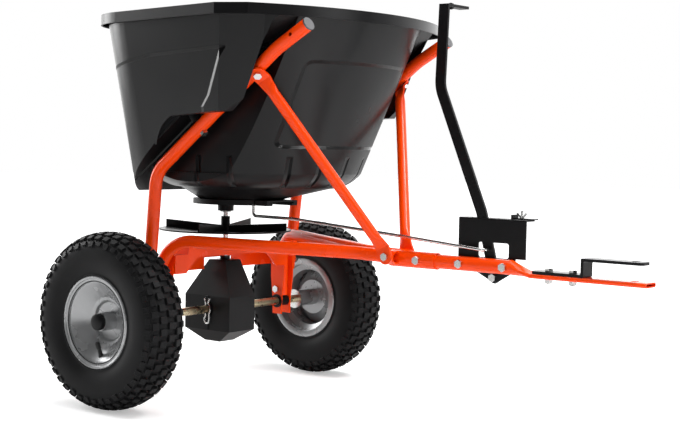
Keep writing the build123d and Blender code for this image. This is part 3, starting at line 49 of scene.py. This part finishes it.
CAMERA_AT = Vector((1.85115, -1.96145, 0.49612))
AZIMUTH = math.radians(38.4503)
ELEVATION = math.radians(3.2355)
ROLL = math.radians(1.0856)
FOCAL_PX = 1338.71
IMAGE_W = 680.0
SENSOR_W = 36.0
CLIP_END = 60.0


def make_camera():
    """Camera that looks at the spreader from its front right."""
    data = bpy.data.cameras.new("camera")
    data.sensor_width = SENSOR_W
    data.lens = FOCAL_PX / IMAGE_W * SENSOR_W
    data.clip_end = CLIP_END
    level = math.cos(ELEVATION)
    back = Vector((math.sin(AZIMUTH) * level, -math.cos(AZIMUTH) * level, math.sin(ELEVATION)))
    right = (-back).cross(Vector((0, 0, 1))).normalized()
    up = right.cross(-back)
    turned_right = math.cos(ROLL) * right + math.sin(ROLL) * up
    turned_up = -math.sin(ROLL) * right + math.cos(ROLL) * up
    turn = Matrix((turned_right, turned_up, back)).transposed().to_4x4()
    cam = bpy.data.objects.new("camera", data)
    cam.matrix_world = Matrix.Translation(CAMERA_AT) @ turn
    bpy.context.scene.collection.objects.link(cam)
    bpy.context.scene.camera = cam


# Steps that build a node material

TINT_STOPS = (0.3, 0.7)
SPECK_STOPS = ((0.25, (0.86, 0.86, 0.86)), (0.75, (1.0, 1.0, 1.0)))
SPECK_SHARE = 0.5
ROUGH_SPREAD = 0.08
ROUGH_MIN = 0.05
GRAIN_DEPTH = 0.0004
COAT_ROUGH = 0.12


def new_material(name):
    """An empty node material with its shader."""
    mat = bpy.data.materials.new(name)
    mat.use_nodes = True
    tree = mat.node_tree
    return mat, tree, tree.nodes["Principled BSDF"]


def feed(tree, socket, value):
    """Gives an input its value, which is a number or another node's output."""
    if isinstance(value, (int, float)):
        socket.default_value = value
    else:
        tree.links.new(value, socket)


def calc(tree, operation, *values):
    """One step of arithmetic; each value is a number or a socket."""
    node = tree.nodes.new("ShaderNodeMath")
    node.operation = operation
    for socket, value in zip(node.inputs, values):
        feed(tree, socket, value)
    return node.outputs["Value"]


def map_range(tree, source, given, wanted):
    """A grey value moved from one range to another."""
    node = tree.nodes.new("ShaderNodeMapRange")
    node.inputs["From Min"].default_value, node.inputs["From Max"].default_value = given
    node.inputs["To Min"].default_value, node.inputs["To Max"].default_value = wanted
    tree.links.new(source, node.inputs["Value"])
    return node.outputs["Result"]


def vector_step(tree, operation, source, other=None):
    """One step of vector arithmetic with a grey value as its result."""
    node = tree.nodes.new("ShaderNodeVectorMath")
    node.operation = operation
    tree.links.new(source, node.inputs[0])
    if other:
        node.inputs[1].default_value = other
    return node.outputs["Value"]


def noise(tree, scale, detail=2.0, rough=0.5, stretch=None):
    """A noise texture in object space, in cycles per metre."""
    coord = tree.nodes.new("ShaderNodeTexCoord")
    out = coord.outputs["Object"]
    if stretch:
        mapping = tree.nodes.new("ShaderNodeMapping")
        mapping.inputs["Scale"].default_value = stretch
        tree.links.new(out, mapping.inputs["Vector"])
        out = mapping.outputs["Vector"]
    tex = tree.nodes.new("ShaderNodeTexNoise")
    tex.inputs["Scale"].default_value = scale
    tex.inputs["Detail"].default_value = detail
    tex.inputs["Roughness"].default_value = rough
    tree.links.new(out, tex.inputs["Vector"])
    return tex.outputs["Fac"]


def ramp(tree, source, stops):
    """A colour ramp over a grey value."""
    node = tree.nodes.new("ShaderNodeValToRGB")
    for element, (place, color) in zip(node.color_ramp.elements, stops):
        element.position = place
        element.color = (*color, 1.0)
    tree.links.new(source, node.inputs["Fac"])
    return node.outputs["Color"]


def bump(tree, height, strength, distance):
    """A relief with the given depth over a grey value."""
    node = tree.nodes.new("ShaderNodeBump")
    node.inputs["Strength"].default_value = strength
    node.inputs["Distance"].default_value = distance
    tree.links.new(height, node.inputs["Height"])
    return node


def scaled(color, factor):
    """A colour made lighter or darker."""
    return tuple(min(1.0, c * factor) for c in color)


def surface(name, color, rough, metallic=0.0, grain=900.0, relief=0.02, vary=0.12, blotch=12.0,
            coat=0.0, stretch=None, specular=0.5):
    """A finish with two scales of colour change, a rough-to-smooth drift and fine grain."""
    mat, tree, shader = new_material(name)
    links = tree.links
    big = noise(tree, blotch, 4.0, 0.6)
    fine = noise(tree, grain, 3.0, 0.6, stretch)
    shades = (scaled(color, 1.0 - vary), scaled(color, 1.0 + vary))
    mix = tree.nodes.new("ShaderNodeMixRGB")
    mix.blend_type = "MULTIPLY"
    mix.inputs["Fac"].default_value = SPECK_SHARE
    links.new(ramp(tree, big, list(zip(TINT_STOPS, shades))), mix.inputs["Color1"])
    links.new(ramp(tree, fine, SPECK_STOPS), mix.inputs["Color2"])
    links.new(mix.outputs["Color"], shader.inputs["Base Color"])
    rough_range = (max(ROUGH_MIN, rough - ROUGH_SPREAD), min(1.0, rough + ROUGH_SPREAD))
    links.new(map_range(tree, big, (0.0, 1.0), rough_range), shader.inputs["Roughness"])
    links.new(bump(tree, fine, relief, GRAIN_DEPTH).outputs["Normal"], shader.inputs["Normal"])
    shader.inputs["Metallic"].default_value = metallic
    shader.inputs["Specular IOR Level"].default_value = specular
    shader.inputs["Coat Weight"].default_value = coat
    shader.inputs["Coat Roughness"].default_value = COAT_ROUGH
    return mat


# Panels and slots of the hopper, in metres

HOPPER_AXIS_X = 0.082
PANEL_FROM_X = HOPPER_AXIS_X + 0.1
PANEL_MIDDLE_Z = 0.566
PANEL_HALF = (0.145, 0.076)
PANEL_CORNER = 0.014
SLOT_ANGLES = (-84.0, -62.0, -32.0, -14.5, 3.5, 22.0, 62.0, 84.0)
SLOT_MIDDLE_Z = 0.444
SLOT_HALF = (0.0035, 0.026)
SIDE_FROM_Y = 0.19
SIDE_BORDER_FOOT = (0.203, 0.579)
SIDE_BORDER_HEAD = (0.252, 0.661)
SIDE_CORNER = 0.020
SIDE_RIDGE = ((-0.176, 0.621), (0.051, 0.653), (0.252, 0.661))
RELIEF_DEPTH = 0.014
RELIEF_EDGE = 0.003


def front_panel_distance(tree, y, z):
    """How far a point lies outside the rounded panel of the cone's front; negative inside."""
    over_y = calc(tree, "SUBTRACT", calc(tree, "ABSOLUTE", y), PANEL_HALF[0] - PANEL_CORNER)
    up = calc(tree, "ABSOLUTE", calc(tree, "SUBTRACT", z, PANEL_MIDDLE_Z))
    over_z = calc(tree, "SUBTRACT", up, PANEL_HALF[1] - PANEL_CORNER)
    far_y = calc(tree, "POWER", calc(tree, "MAXIMUM", over_y, 0.0), 2.0)
    far_z = calc(tree, "POWER", calc(tree, "MAXIMUM", over_z, 0.0), 2.0)
    corner = calc(tree, "SQRT", calc(tree, "ADD", far_y, far_z))
    within = calc(tree, "MINIMUM", calc(tree, "MAXIMUM", over_y, over_z), 0.0)
    return calc(tree, "SUBTRACT", calc(tree, "ADD", corner, within), PANEL_CORNER)


def slot_distance(tree, x, y, z, angle):
    """How far a point lies outside one upright slot of the bowl."""
    cosine = math.cos(math.radians(angle))
    sine = math.sin(math.radians(angle))
    from_axis = calc(tree, "SUBTRACT", x, HOPPER_AXIS_X)
    forward = calc(tree, "ADD", calc(tree, "MULTIPLY", from_axis, cosine), calc(tree, "MULTIPLY", y, sine))
    aside = calc(tree, "SUBTRACT", calc(tree, "MULTIPLY", y, cosine), calc(tree, "MULTIPLY", from_axis, sine))
    over_side = calc(tree, "SUBTRACT", calc(tree, "ABSOLUTE", aside), SLOT_HALF[0])
    up = calc(tree, "ABSOLUTE", calc(tree, "SUBTRACT", z, SLOT_MIDDLE_Z))
    over_up = calc(tree, "SUBTRACT", up, SLOT_HALF[1])
    behind = calc(tree, "MULTIPLY", forward, -1.0)
    return calc(tree, "MAXIMUM", calc(tree, "MAXIMUM", over_side, over_up), behind)


def side_panel_distance(tree, x, y, z):
    """How far a point lies outside the side panels, behind their border and below their ridge."""
    foot_x, foot_z = SIDE_BORDER_FOOT
    head_x, head_z = SIDE_BORDER_HEAD
    turn = map_range(tree, z, (foot_z - SIDE_CORNER, foot_z), (foot_x - SIDE_CORNER, foot_x))
    lean = map_range(tree, z, (foot_z, head_z), (0.0, head_x - foot_x))
    ahead = calc(tree, "SUBTRACT", x, calc(tree, "ADD", turn, lean))
    rear, middle, front = SIDE_RIDGE
    rise = map_range(tree, x, (rear[0], middle[0]), (rear[1], middle[1]))
    more = map_range(tree, x, (middle[0], front[0]), (0.0, front[1] - middle[1]))
    above = calc(tree, "SUBTRACT", z, calc(tree, "ADD", rise, more))
    inward = calc(tree, "SUBTRACT", SIDE_FROM_Y, calc(tree, "ABSOLUTE", y))
    return calc(tree, "MAXIMUM", calc(tree, "MAXIMUM", ahead, above), inward)


def press_recesses(mat):
    """Draws the hopper's panels and slots as relief in the finish, under its grain."""
    tree = mat.node_tree
    place = tree.nodes.new("ShaderNodeSeparateXYZ")
    tree.links.new(tree.nodes.new("ShaderNodeTexCoord").outputs["Object"], place.inputs["Vector"])
    x, y, z = (place.outputs[axis] for axis in "XYZ")
    behind = calc(tree, "SUBTRACT", PANEL_FROM_X, x)
    nearest = calc(tree, "MAXIMUM", front_panel_distance(tree, y, z), behind)
    nearest = calc(tree, "MINIMUM", nearest, side_panel_distance(tree, x, y, z))
    for angle in SLOT_ANGLES:
        nearest = calc(tree, "MINIMUM", nearest, slot_distance(tree, x, y, z, angle))
    height = map_range(tree, nearest, (-RELIEF_EDGE, RELIEF_EDGE), (0.0, 1.0))
    pressed = bump(tree, height, 1.0, RELIEF_DEPTH)
    grain = tree.nodes["Principled BSDF"].inputs["Normal"].links[0].from_node
    tree.links.new(pressed.outputs["Normal"], grain.inputs["Normal"])


# Finishes

TYRE_BLACK = (0.009, 0.009, 0.0095)
VALVE_BLACK = (0.008, 0.008, 0.008)
PAINT_BLACK = (0.005, 0.005, 0.0055)
MOULDED_BLACK = (0.006, 0.006, 0.0065)
RIM_GREY = (0.36, 0.365, 0.37)
ZINC = (0.74, 0.74, 0.73)
YELLOW_ZINC = (0.66, 0.56, 0.36)
GEAR_STEEL = (0.32, 0.32, 0.33)
SHEET_STEEL = (0.55, 0.55, 0.55)
ORANGE = (0.98, 0.062, 0.001)
CAP_GREY = (0.09, 0.09, 0.095)
NYLON = (0.7, 0.69, 0.64)
DRAWN_ALONG_X = (0.1, 4, 4)

MATERIALS = {
    "tyre_rubber": surface("tyre_rubber", TYRE_BLACK, 0.5, grain=1400, relief=0.12, vary=0.25, blotch=20,
                           specular=0.12),
    "black_rubber": surface("black_rubber", VALVE_BLACK, 0.5, grain=1200, relief=0.1, specular=0.3),
    "rim_grey": surface("rim_grey", RIM_GREY, 0.27, metallic=0.6, grain=1500, relief=0.03, vary=0.05,
                        coat=0.2),
    "zinc": surface("zinc", ZINC, 0.24, metallic=1.0, grain=1800, relief=0.1, vary=0.1, blotch=60),
    "yellow_zinc": surface("yellow_zinc", YELLOW_ZINC, 0.28, metallic=1.0, grain=1800, relief=0.1,
                           vary=0.15, blotch=40),
    "gear_steel": surface("gear_steel", GEAR_STEEL, 0.4, metallic=1.0, grain=1500, relief=0.2, vary=0.15,
                          blotch=50),
    "steel_sheet": surface("steel_sheet", SHEET_STEEL, 0.3, metallic=1.0, grain=300, relief=0.1,
                           stretch=DRAWN_ALONG_X),
    "orange_paint": surface("orange_paint", ORANGE, 0.25, grain=700, relief=0.04, vary=0.03, coat=0.1,
                            specular=0.2),
    "black_paint": surface("black_paint", PAINT_BLACK, 0.32, grain=1100, relief=0.08, vary=0.1,
                           specular=0.2),
    "gearbox_black": surface("gearbox_black", MOULDED_BLACK, 0.38, grain=900, relief=0.12, vary=0.15,
                             specular=0.16),
    "black_plastic": surface("black_plastic", MOULDED_BLACK, 0.34, grain=900, relief=0.08, vary=0.1,
                             specular=0.16),
    "grey_plastic": surface("grey_plastic", CAP_GREY, 0.42, grain=900, relief=0.1, vary=0.08),
    "white_nylon": surface("white_nylon", NYLON, 0.45, grain=800, relief=0.1, vary=0.04),
    "hopper_black": surface("hopper_black", MOULDED_BLACK, 0.3, grain=1300, relief=0.08, vary=0.1, blotch=6,
                            specular=0.2),
}
press_recesses(MATERIALS["hopper_black"])

# Soft edges: bevel width in metres, and the nodes that get it

EDGE_WIDTHS = {
    0.0014: ("hopper", "gate_deck"),
    0.0010: ("gearbox_front", "gearbox_rear", "cross_member", "spinner_plate"),
    0.0006: ("hanger_outer_right", "hanger_outer_left", "hanger_inner_right", "hanger_inner_left",
             "hitch_plate", "control_bracket", "lever", "stop_slider", "wing_nut", "brace_right",
             "brace_left"),
    0.0004: ("frame_bolts", "hanger_bolts", "brace_bolts", "hopper_bolts", "hitch_bolts", "lever_bolt",
             "nuts", "gearbox_screws", "axle", "tube_cap_right", "tube_cap_left", "wheel_washer_right",
             "wheel_washer_left", "wheel_hub_right", "wheel_hub_left"),
}
NODE_BEVEL_ANGLE = 32.0
TREAD_BEVEL = 0.0007
TREAD_BEVEL_ANGLE = 35.0
BEVEL_SEGMENTS = 2


def bevel(obj, width, angle):
    """Rounded edges where two faces meet at more than the angle."""
    mod = obj.modifiers.new("bevel", "BEVEL")
    mod.width = width
    mod.segments = BEVEL_SEGMENTS
    mod.limit_method = "ANGLE"
    mod.angle_limit = math.radians(angle)
    mod.harden_normals = False


def dress_nodes():
    """Gives every CAD node the finish of its slot, and soft edges where the real piece has them."""
    for part in frame["record"]["subparts"]:
        node = NODES[part["node"]]
        node.data.materials.clear()
        node.data.materials.append(MATERIALS[part["material_slot"]])
    for width, names in EDGE_WIDTHS.items():
        for name in names:
            bevel(NODES[name], width, NODE_BEVEL_ANGLE)


# Meshes

MERGE_DISTANCE = 1e-6
DISSOLVE_DISTANCE = 1e-7


def new_piece(name, verts, faces):
    """A mesh object in the scene."""
    mesh = bpy.data.meshes.new(name)
    mesh.from_pydata(verts, [], faces)
    mesh.update()
    obj = bpy.data.objects.new(name, mesh)
    bpy.context.scene.collection.objects.link(obj)
    return obj


def lathe(name, section, y0, flip, steps, close=False):
    """A mesh turned about the axle from (offset, radius) points."""
    verts, faces = [], []
    count = len(section)
    for i in range(steps):
        a = 2 * math.pi * i / steps
        for offset, radius in section:
            verts.append((radius * math.cos(a), y0 + flip * offset, AXLE_Z + radius * math.sin(a)))
    for i in range(steps):
        j = (i + 1) % steps
        for k in range(count if close else count - 1):
            m = (k + 1) % count
            quad = (i * count + k, i * count + m, j * count + m, j * count + k)
            faces.append(quad if flip > 0 else quad[::-1])
    return new_piece(name, verts, faces)


def smooth(obj, angle):
    """Smooth shading with crisp edges above an angle."""
    for poly in obj.data.polygons:
        poly.use_smooth = True
    limit = math.radians(angle)
    bm = bmesh.new()
    bm.from_mesh(obj.data)
    bmesh.ops.recalc_face_normals(bm, faces=bm.faces)
    for edge in bm.edges:
        edge.smooth = len(edge.link_faces) < 2 or edge.calc_face_angle(0.0) < limit
    bm.to_mesh(obj.data)
    bm.free()


def merge(obj):
    """Joins the points that lie on the turning axis."""
    bm = bmesh.new()
    bm.from_mesh(obj.data)
    bmesh.ops.remove_doubles(bm, verts=bm.verts, dist=MERGE_DISTANCE)
    bmesh.ops.dissolve_degenerate(bm, edges=bm.edges, dist=DISSOLVE_DISTANCE)
    bm.to_mesh(obj.data)
    bm.free()


# Wheels: the middle plane's y, the side that faces outward, and the body they ride on

AXLE_Z = 0.165
WHEELS = {"right": (-0.305, -1, "axle_set"), "left": (0.283, 1, "left_wheel")}

# Tyres: sections are (offset from the middle plane, radius), and spans are measured along the section

TYRE_R = 0.165
TYRE_STEPS = 144
CROWN_ARC = math.radians(62)
CROWN_STEPS = 12
CROWN_DROP = 0.0125
SHOULDER_Y = 0.0405
CROWN_SHARE = 0.93
SIDEWALL = [(SHOULDER_Y, 0.1435), (0.0427, 0.1355), (0.0436, 0.1265), (0.0436, 0.1185), (0.0428, 0.1105),
            (0.0410, 0.1030), (0.0388, 0.0965), (0.0368, 0.0915), (0.0362, 0.0885), (0.0372, 0.0872),
            (0.0368, 0.0858), (0.0350, 0.0852), (0.0350, 0.0745), (0.0280, 0.0743), (0.0280, 0.0880)]
LUGS = 46
LUG_HEIGHT = 0.0058
LUG_SINK = 0.002
LUG_TAPER = 0.0007
LUG_FACES = ((0, 1, 3, 2), (4, 6, 7, 5), (0, 4, 5, 1), (2, 3, 7, 6), (0, 2, 6, 4), (1, 5, 7, 3))
# Rows across the crown: start and end of the blocks, shift in pitches, share of the pitch
TREAD_ROWS = [(-0.0075, 0.0075, 0.0, 0.60), (0.0105, 0.0235, 0.5, 0.62), (-0.0235, -0.0105, 0.5, 0.62),
              (0.0265, 0.0375, 0.0, 0.62), (-0.0375, -0.0265, 0.0, 0.62)]
TREAD_HEIGHT = LUG_HEIGHT * 0.97
# Blocks on the shoulders, short and long in turn
SHOULDER_SPANS = ((0.0398, 0.0480), (0.0398, 0.0515))
SHOULDER_SHARE = 0.6
SHOULDER_HEIGHT = LUG_HEIGHT * 0.55
CARCASS_CREASE = 50
TREAD_CREASE = 30


def tyre_section():
    """Half of the carcass section, from the crown to the bead."""
    crown = TYRE_R - LUG_HEIGHT
    points = []
    for i in range(CROWN_STEPS + 1):
        a = i / CROWN_STEPS * CROWN_ARC
        points.append((SHOULDER_Y * math.sin(a) / math.sin(CROWN_ARC) * CROWN_SHARE,
                       crown - CROWN_DROP * (1 - math.cos(a)) / (1 - math.cos(CROWN_ARC))))
    return points + SIDEWALL


def on_section(section, s):
    """Point and outward normal at a distance along the section from the crown; s may be negative."""
    sign = -1.0 if s < 0 else 1.0
    left = abs(s)
    for (y0, r0), (y1, r1) in zip(section, section[1:]):
        step = math.hypot(y1 - y0, r1 - r0)
        if left <= step:
            f = left / step
            normal = Vector((-(r1 - r0), y1 - y0)).normalized()
            return sign * (y0 + (y1 - y0) * f), r0 + (r1 - r0) * f, sign * normal.x, normal.y
        left -= step
    raise ValueError("past the section's end")


def add_block(verts, faces, section, y0, span, angles, height):
    """One tread block between two distances along the section and two angles."""
    base = len(verts)
    for lift, pull in ((-LUG_SINK, 0.0), (height, LUG_TAPER)):
        for s, inward in zip(span, (1, -1)):
            for a, onward in zip(angles, (1, -1)):
                y, r, ny, nr = on_section(section, s + inward * pull)
                turn = a + onward * pull / r
                radius = r + nr * lift
                verts.append((radius * math.cos(turn), y0 + y + ny * lift, AXLE_Z + radius * math.sin(turn)))
    for quad in LUG_FACES:
        faces.append(tuple(base + q for q in quad))


def make_tyre(side):
    """Turf tyre: carcass with rings on the sidewall and rows of square tread blocks."""
    y0, _, body = WHEELS[side]
    half = tyre_section()
    loop = [(-y, r) for y, r in reversed(half)] + half[1:]
    carcass = lathe("tyre_carcass_" + side, loop, y0, 1, TYRE_STEPS, close=True)
    smooth(carcass, CARCASS_CREASE)
    verts, faces = [], []
    pitch = 2 * math.pi / LUGS
    for start, end, shift, share in TREAD_ROWS:
        for i in range(LUGS):
            a = (i + shift) * pitch
            add_block(verts, faces, half, y0, (start, end), (a, a + pitch * share), TREAD_HEIGHT)
    for sign in (-1, 1):
        for i in range(LUGS):
            a = (i + 0.5) * pitch
            span = sorted(sign * s for s in SHOULDER_SPANS[i % 2])
            add_block(verts, faces, half, y0, span, (a, a + pitch * SHOULDER_SHARE), SHOULDER_HEIGHT)
    tread = new_piece("tyre_tread_" + side, verts, faces)
    smooth(tread, TREAD_CREASE)
    bevel(tread, TREAD_BEVEL, TREAD_BEVEL_ANGLE)
    for piece in (carcass, tread):
        piece.data.materials.append(MATERIALS["tyre_rubber"])
        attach(piece, body)
        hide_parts("tyre_" + side)


# Rims, from the outer lip round the back to the dish

RIM_STEPS = 128
RIM_CREASE = 38
RIM_LIP = [(0.0380, 0.0830), (0.0376, 0.0843), (0.0364, 0.0850), (0.0352, 0.0846), (0.0350, 0.0765),
           (0.0340, 0.0742)]
RIM_BARREL = [(0.0220, 0.0740), (0.0160, 0.0622), (-0.0160, 0.0622), (-0.0220, 0.0740), (-0.0345, 0.0742),
              (-0.0354, 0.0760), (-0.0356, 0.0845), (-0.0368, 0.0850), (-0.0380, 0.0840), (-0.0380, 0.0740),
              (-0.0372, 0.0718), (-0.0215, 0.0715), (-0.0150, 0.0597), (0.0150, 0.0597), (0.0205, 0.0695),
              (0.0262, 0.0692)]
RIM_BACK = [(0.0040, 0.0452), (0.0030, 0.0420), (-0.0047, 0.0366), (-0.0047, 0.0172)]
RIM_CUP = [(-0.0022, 0.0172), (-0.0022, 0.0335), (-0.0016, 0.0350), (0.0002, 0.0361), (0.0034, 0.0372),
           (0.0050, 0.0384), (0.0057, 0.0402), (0.0060, 0.0425), (0.0066, 0.0441), (0.0080, 0.0456)]
RIM_CONE = [(0.0288, 0.0706), (0.0302, 0.0726), (0.0309, 0.0742), (0.0313, 0.0755), (0.0322, 0.0764),
            (0.0338, 0.0769), (0.0343, 0.0776), (0.0346, 0.0792), (0.0353, 0.0801), (0.0370, 0.0806)]


def make_rim(side):
    """Pressed rim with a rolled lip, a stepped flange, a deep smooth dish and a cup round the hub."""
    y0, outward, body = WHEELS[side]
    section = RIM_LIP + RIM_BARREL + RIM_BACK + RIM_CUP + RIM_CONE
    rim = lathe("rim_dish_" + side, section, y0, outward, RIM_STEPS, close=True)
    rim.data.materials.append(MATERIALS["rim_grey"])
    smooth(rim, RIM_CREASE)
    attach(rim, body)
    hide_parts("rim_" + side)


# Caps and valves

CAP_SEAT = 0.024
CAP_PROFILE = [(0.0, 0.0), (0.0, 0.0150), (0.0010, 0.0156), (0.0068, 0.0154), (0.0092, 0.0148),
               (0.0106, 0.0130), (0.0113, 0.0098), (0.0118, 0.0050), (0.0120, 0.0)]
CAP_STEPS = 48
SMALL_CREASE = 35
# The valve's ends as (offset outward, distance below the axle), and its rings as (share of length, radius)
VALVE_FOOT = (0.0185, 0.0690)
VALVE_TIP = (0.0305, 0.0370)
VALVE_RINGS = [(0.0, 0.0), (0.0, 0.0052), (0.22, 0.0050), (0.30, 0.0038), (0.62, 0.0034), (0.64, 0.0042),
               (0.70, 0.0044), (0.95, 0.0042), (1.0, 0.0034), (1.0, 0.0)]
VALVE_STEPS = 28


def make_cap(side):
    """Domed black cap, a little smaller than the hub tube, so that the tube's end shows as a ring."""
    y0, outward, _ = WHEELS[side]
    section = [(CAP_SEAT + rise, radius) for rise, radius in CAP_PROFILE]
    cap = lathe("cap_dome_" + side, section, y0, outward, CAP_STEPS)
    cap.data.materials.append(MATERIALS["black_plastic"])
    merge(cap)
    smooth(cap, SMALL_CREASE)
    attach(cap, "axle_set")
    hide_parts("hub_cap_" + side)


def make_valve(side):
    """Rubber valve stem that leans out of the dish, with a waist and a thicker cap."""
    y0, outward, body = WHEELS[side]
    foot = Vector((0, y0 + outward * VALVE_FOOT[0], AXLE_Z - VALVE_FOOT[1]))
    tip = Vector((0, y0 + outward * VALVE_TIP[0], AXLE_Z - VALVE_TIP[1]))
    along = tip - foot
    turn = along.to_track_quat("Z", "Y").to_matrix()
    verts, faces = [], []
    for share, radius in VALVE_RINGS:
        for i in range(VALVE_STEPS):
            a = 2 * math.pi * i / VALVE_STEPS
            spoke = Vector((radius * math.cos(a), radius * math.sin(a), 0))
            verts.append(foot + along * share + turn @ spoke)
    for low in range(0, (len(VALVE_RINGS) - 1) * VALVE_STEPS, VALVE_STEPS):
        high = low + VALVE_STEPS
        for i in range(VALVE_STEPS):
            j = (i + 1) % VALVE_STEPS
            faces.append((low + i, low + j, high + j, high + i))
    valve = new_piece("valve_" + side, verts, faces)
    merge(valve)
    valve.data.materials.append(MATERIALS["black_rubber"])
    smooth(valve, SMALL_CREASE)
    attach(valve, body)
    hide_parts("valve_stem_" + side)


# Floor: its glow toward the camera grows with the distance, and a patch ahead glows only for glossy rays, a
# painted reflection in glossy faces

FLOOR_HALF = 14.0
FLOOR_GREY = 0.9
FLOOR_ROUGH = 0.9
FLOOR_GLOW = (0.40, 1.1)
GLOW_REACH = (1.0, 2.6)
# Painted reflection: where this patch of floor glows, glossy faces above it show a pale reflection that no
# lamp casts
GLOSSY_GLOW_AT = (1.15, 0.0, 0.0)
GLOSSY_GLOW_REACH = (0.25, 0.6)
GLOSSY_GLOW_STRENGTH = 1.3
WHITE = (1.0, 1.0, 1.0, 1.0)


def make_floor():
    """White floor that keeps the shadow, with a patch ahead that glows only for glossy rays as a painted
    reflection.
    """
    h = FLOOR_HALF
    floor = new_piece("floor", [(-h, -h, 0), (h, -h, 0), (h, h, 0), (-h, h, 0)], [(0, 1, 2, 3)])
    mat, tree, shader = new_material("floor_white")
    shader.inputs["Base Color"].default_value = (FLOOR_GREY, FLOOR_GREY, FLOOR_GREY, 1.0)
    shader.inputs["Roughness"].default_value = FLOOR_ROUGH
    shader.inputs["Specular IOR Level"].default_value = 0.0
    shader.inputs["Emission Color"].default_value = WHITE
    seen = tree.nodes.new("ShaderNodeLightPath")
    place = tree.nodes.new("ShaderNodeTexCoord").outputs["Object"]
    rise = map_range(tree, vector_step(tree, "LENGTH", place), GLOW_REACH, FLOOR_GLOW)
    # Painted reflection: the floor glows round the patch for glossy rays only
    from_glossy_glow = vector_step(tree, "DISTANCE", place, GLOSSY_GLOW_AT)
    reflection_glow = map_range(tree, from_glossy_glow, GLOSSY_GLOW_REACH, (GLOSSY_GLOW_STRENGTH, 0.0))
    in_view = calc(tree, "MULTIPLY", rise, seen.outputs["Is Camera Ray"])
    in_gloss = calc(tree, "MULTIPLY", reflection_glow, seen.outputs["Is Glossy Ray"])
    tree.links.new(calc(tree, "ADD", in_view, in_gloss), shader.inputs["Emission Strength"])
    floor.data.materials.append(mat)


# Surround: white to the camera, and in glossy faces pale on the side away from the camera

AMBIENT = 0.36
MIRRORED_FRONT = 0.05
MIRRORED_BACK = 2.4
BACKWARD = (-0.62, 0.78, 0.0)
BACK_SPREAD = (-0.1, 0.85)


def background(tree, strength):
    """A white background with a strength that is a number or a socket."""
    node = tree.nodes.new("ShaderNodeBackground")
    node.inputs["Color"].default_value = WHITE
    feed(tree, node.inputs["Strength"], strength)
    return node.outputs["Background"]


def blend(tree, factor, first, second):
    """Two shaders mixed by a factor."""
    node = tree.nodes.new("ShaderNodeMixShader")
    tree.links.new(factor, node.inputs["Fac"])
    tree.links.new(first, node.inputs[1])
    tree.links.new(second, node.inputs[2])
    return node.outputs["Shader"]


def make_surround():
    """White to the camera, soft light for the rest."""
    world = bpy.data.worlds.new("world")
    bpy.context.scene.world = world
    world.use_nodes = True
    tree = world.node_tree
    tree.nodes.clear()
    out = tree.nodes.new("ShaderNodeOutputWorld")
    path = tree.nodes.new("ShaderNodeLightPath")
    way = tree.nodes.new("ShaderNodeTexCoord").outputs["Generated"]
    toward = vector_step(tree, "DOT_PRODUCT", way, BACKWARD)
    studio = map_range(tree, toward, BACK_SPREAD, (MIRRORED_FRONT, MIRRORED_BACK))
    mirrored = blend(tree, path.outputs["Is Glossy Ray"], background(tree, AMBIENT), background(tree, studio))
    whole = blend(tree, path.outputs["Is Camera Ray"], mirrored, background(tree, 1.0))
    tree.links.new(whole, out.inputs["Surface"])


# Softboxes: place, aim, width and height in metres, power in watts

LIGHTS = {
    "top": ((0.3, 0.3, 3.2), (0.2, 0.0, 0.3), (3.0, 2.4), 84),
    "left": ((-2.6, -0.5, 1.5), (0.0, 0.0, 0.45), (1.2, 2.2), 52),
    "right": ((3.3, 0.9, 1.8), (0.3, 0.0, 0.42), (0.9, 2.2), 30),
    "pool": ((1.5, 0.5, 2.3), (1.1, 0.15, 0.0), (0.7, 0.7), 34),
    "front": ((1.9, -2.6, 3.0), (0.3, 0.0, 0.2), (0.7, 0.5), 16),
}


def make_lights():
    """Softboxes overhead, behind, ahead and at the right, with little light from the camera's side."""
    for name, (at, target, size, power) in LIGHTS.items():
        data = bpy.data.lights.new(name, "AREA")
        data.shape = "RECTANGLE"
        data.size, data.size_y = size
        data.energy = power
        lamp = bpy.data.objects.new(name, data)
        turn = (Vector(target) - Vector(at)).to_track_quat("-Z", "Y").to_matrix().to_4x4()
        lamp.matrix_world = Matrix.Translation(Vector(at)) @ turn
        bpy.context.scene.collection.objects.link(lamp)


make_camera()
dress_nodes()
for wheel_side in WHEELS:
    make_tyre(wheel_side)
    make_rim(wheel_side)
    make_cap(wheel_side)
    make_valve(wheel_side)
make_floor()
make_surround()
make_lights()
bpy.context.scene.view_settings.view_transform = "Standard"
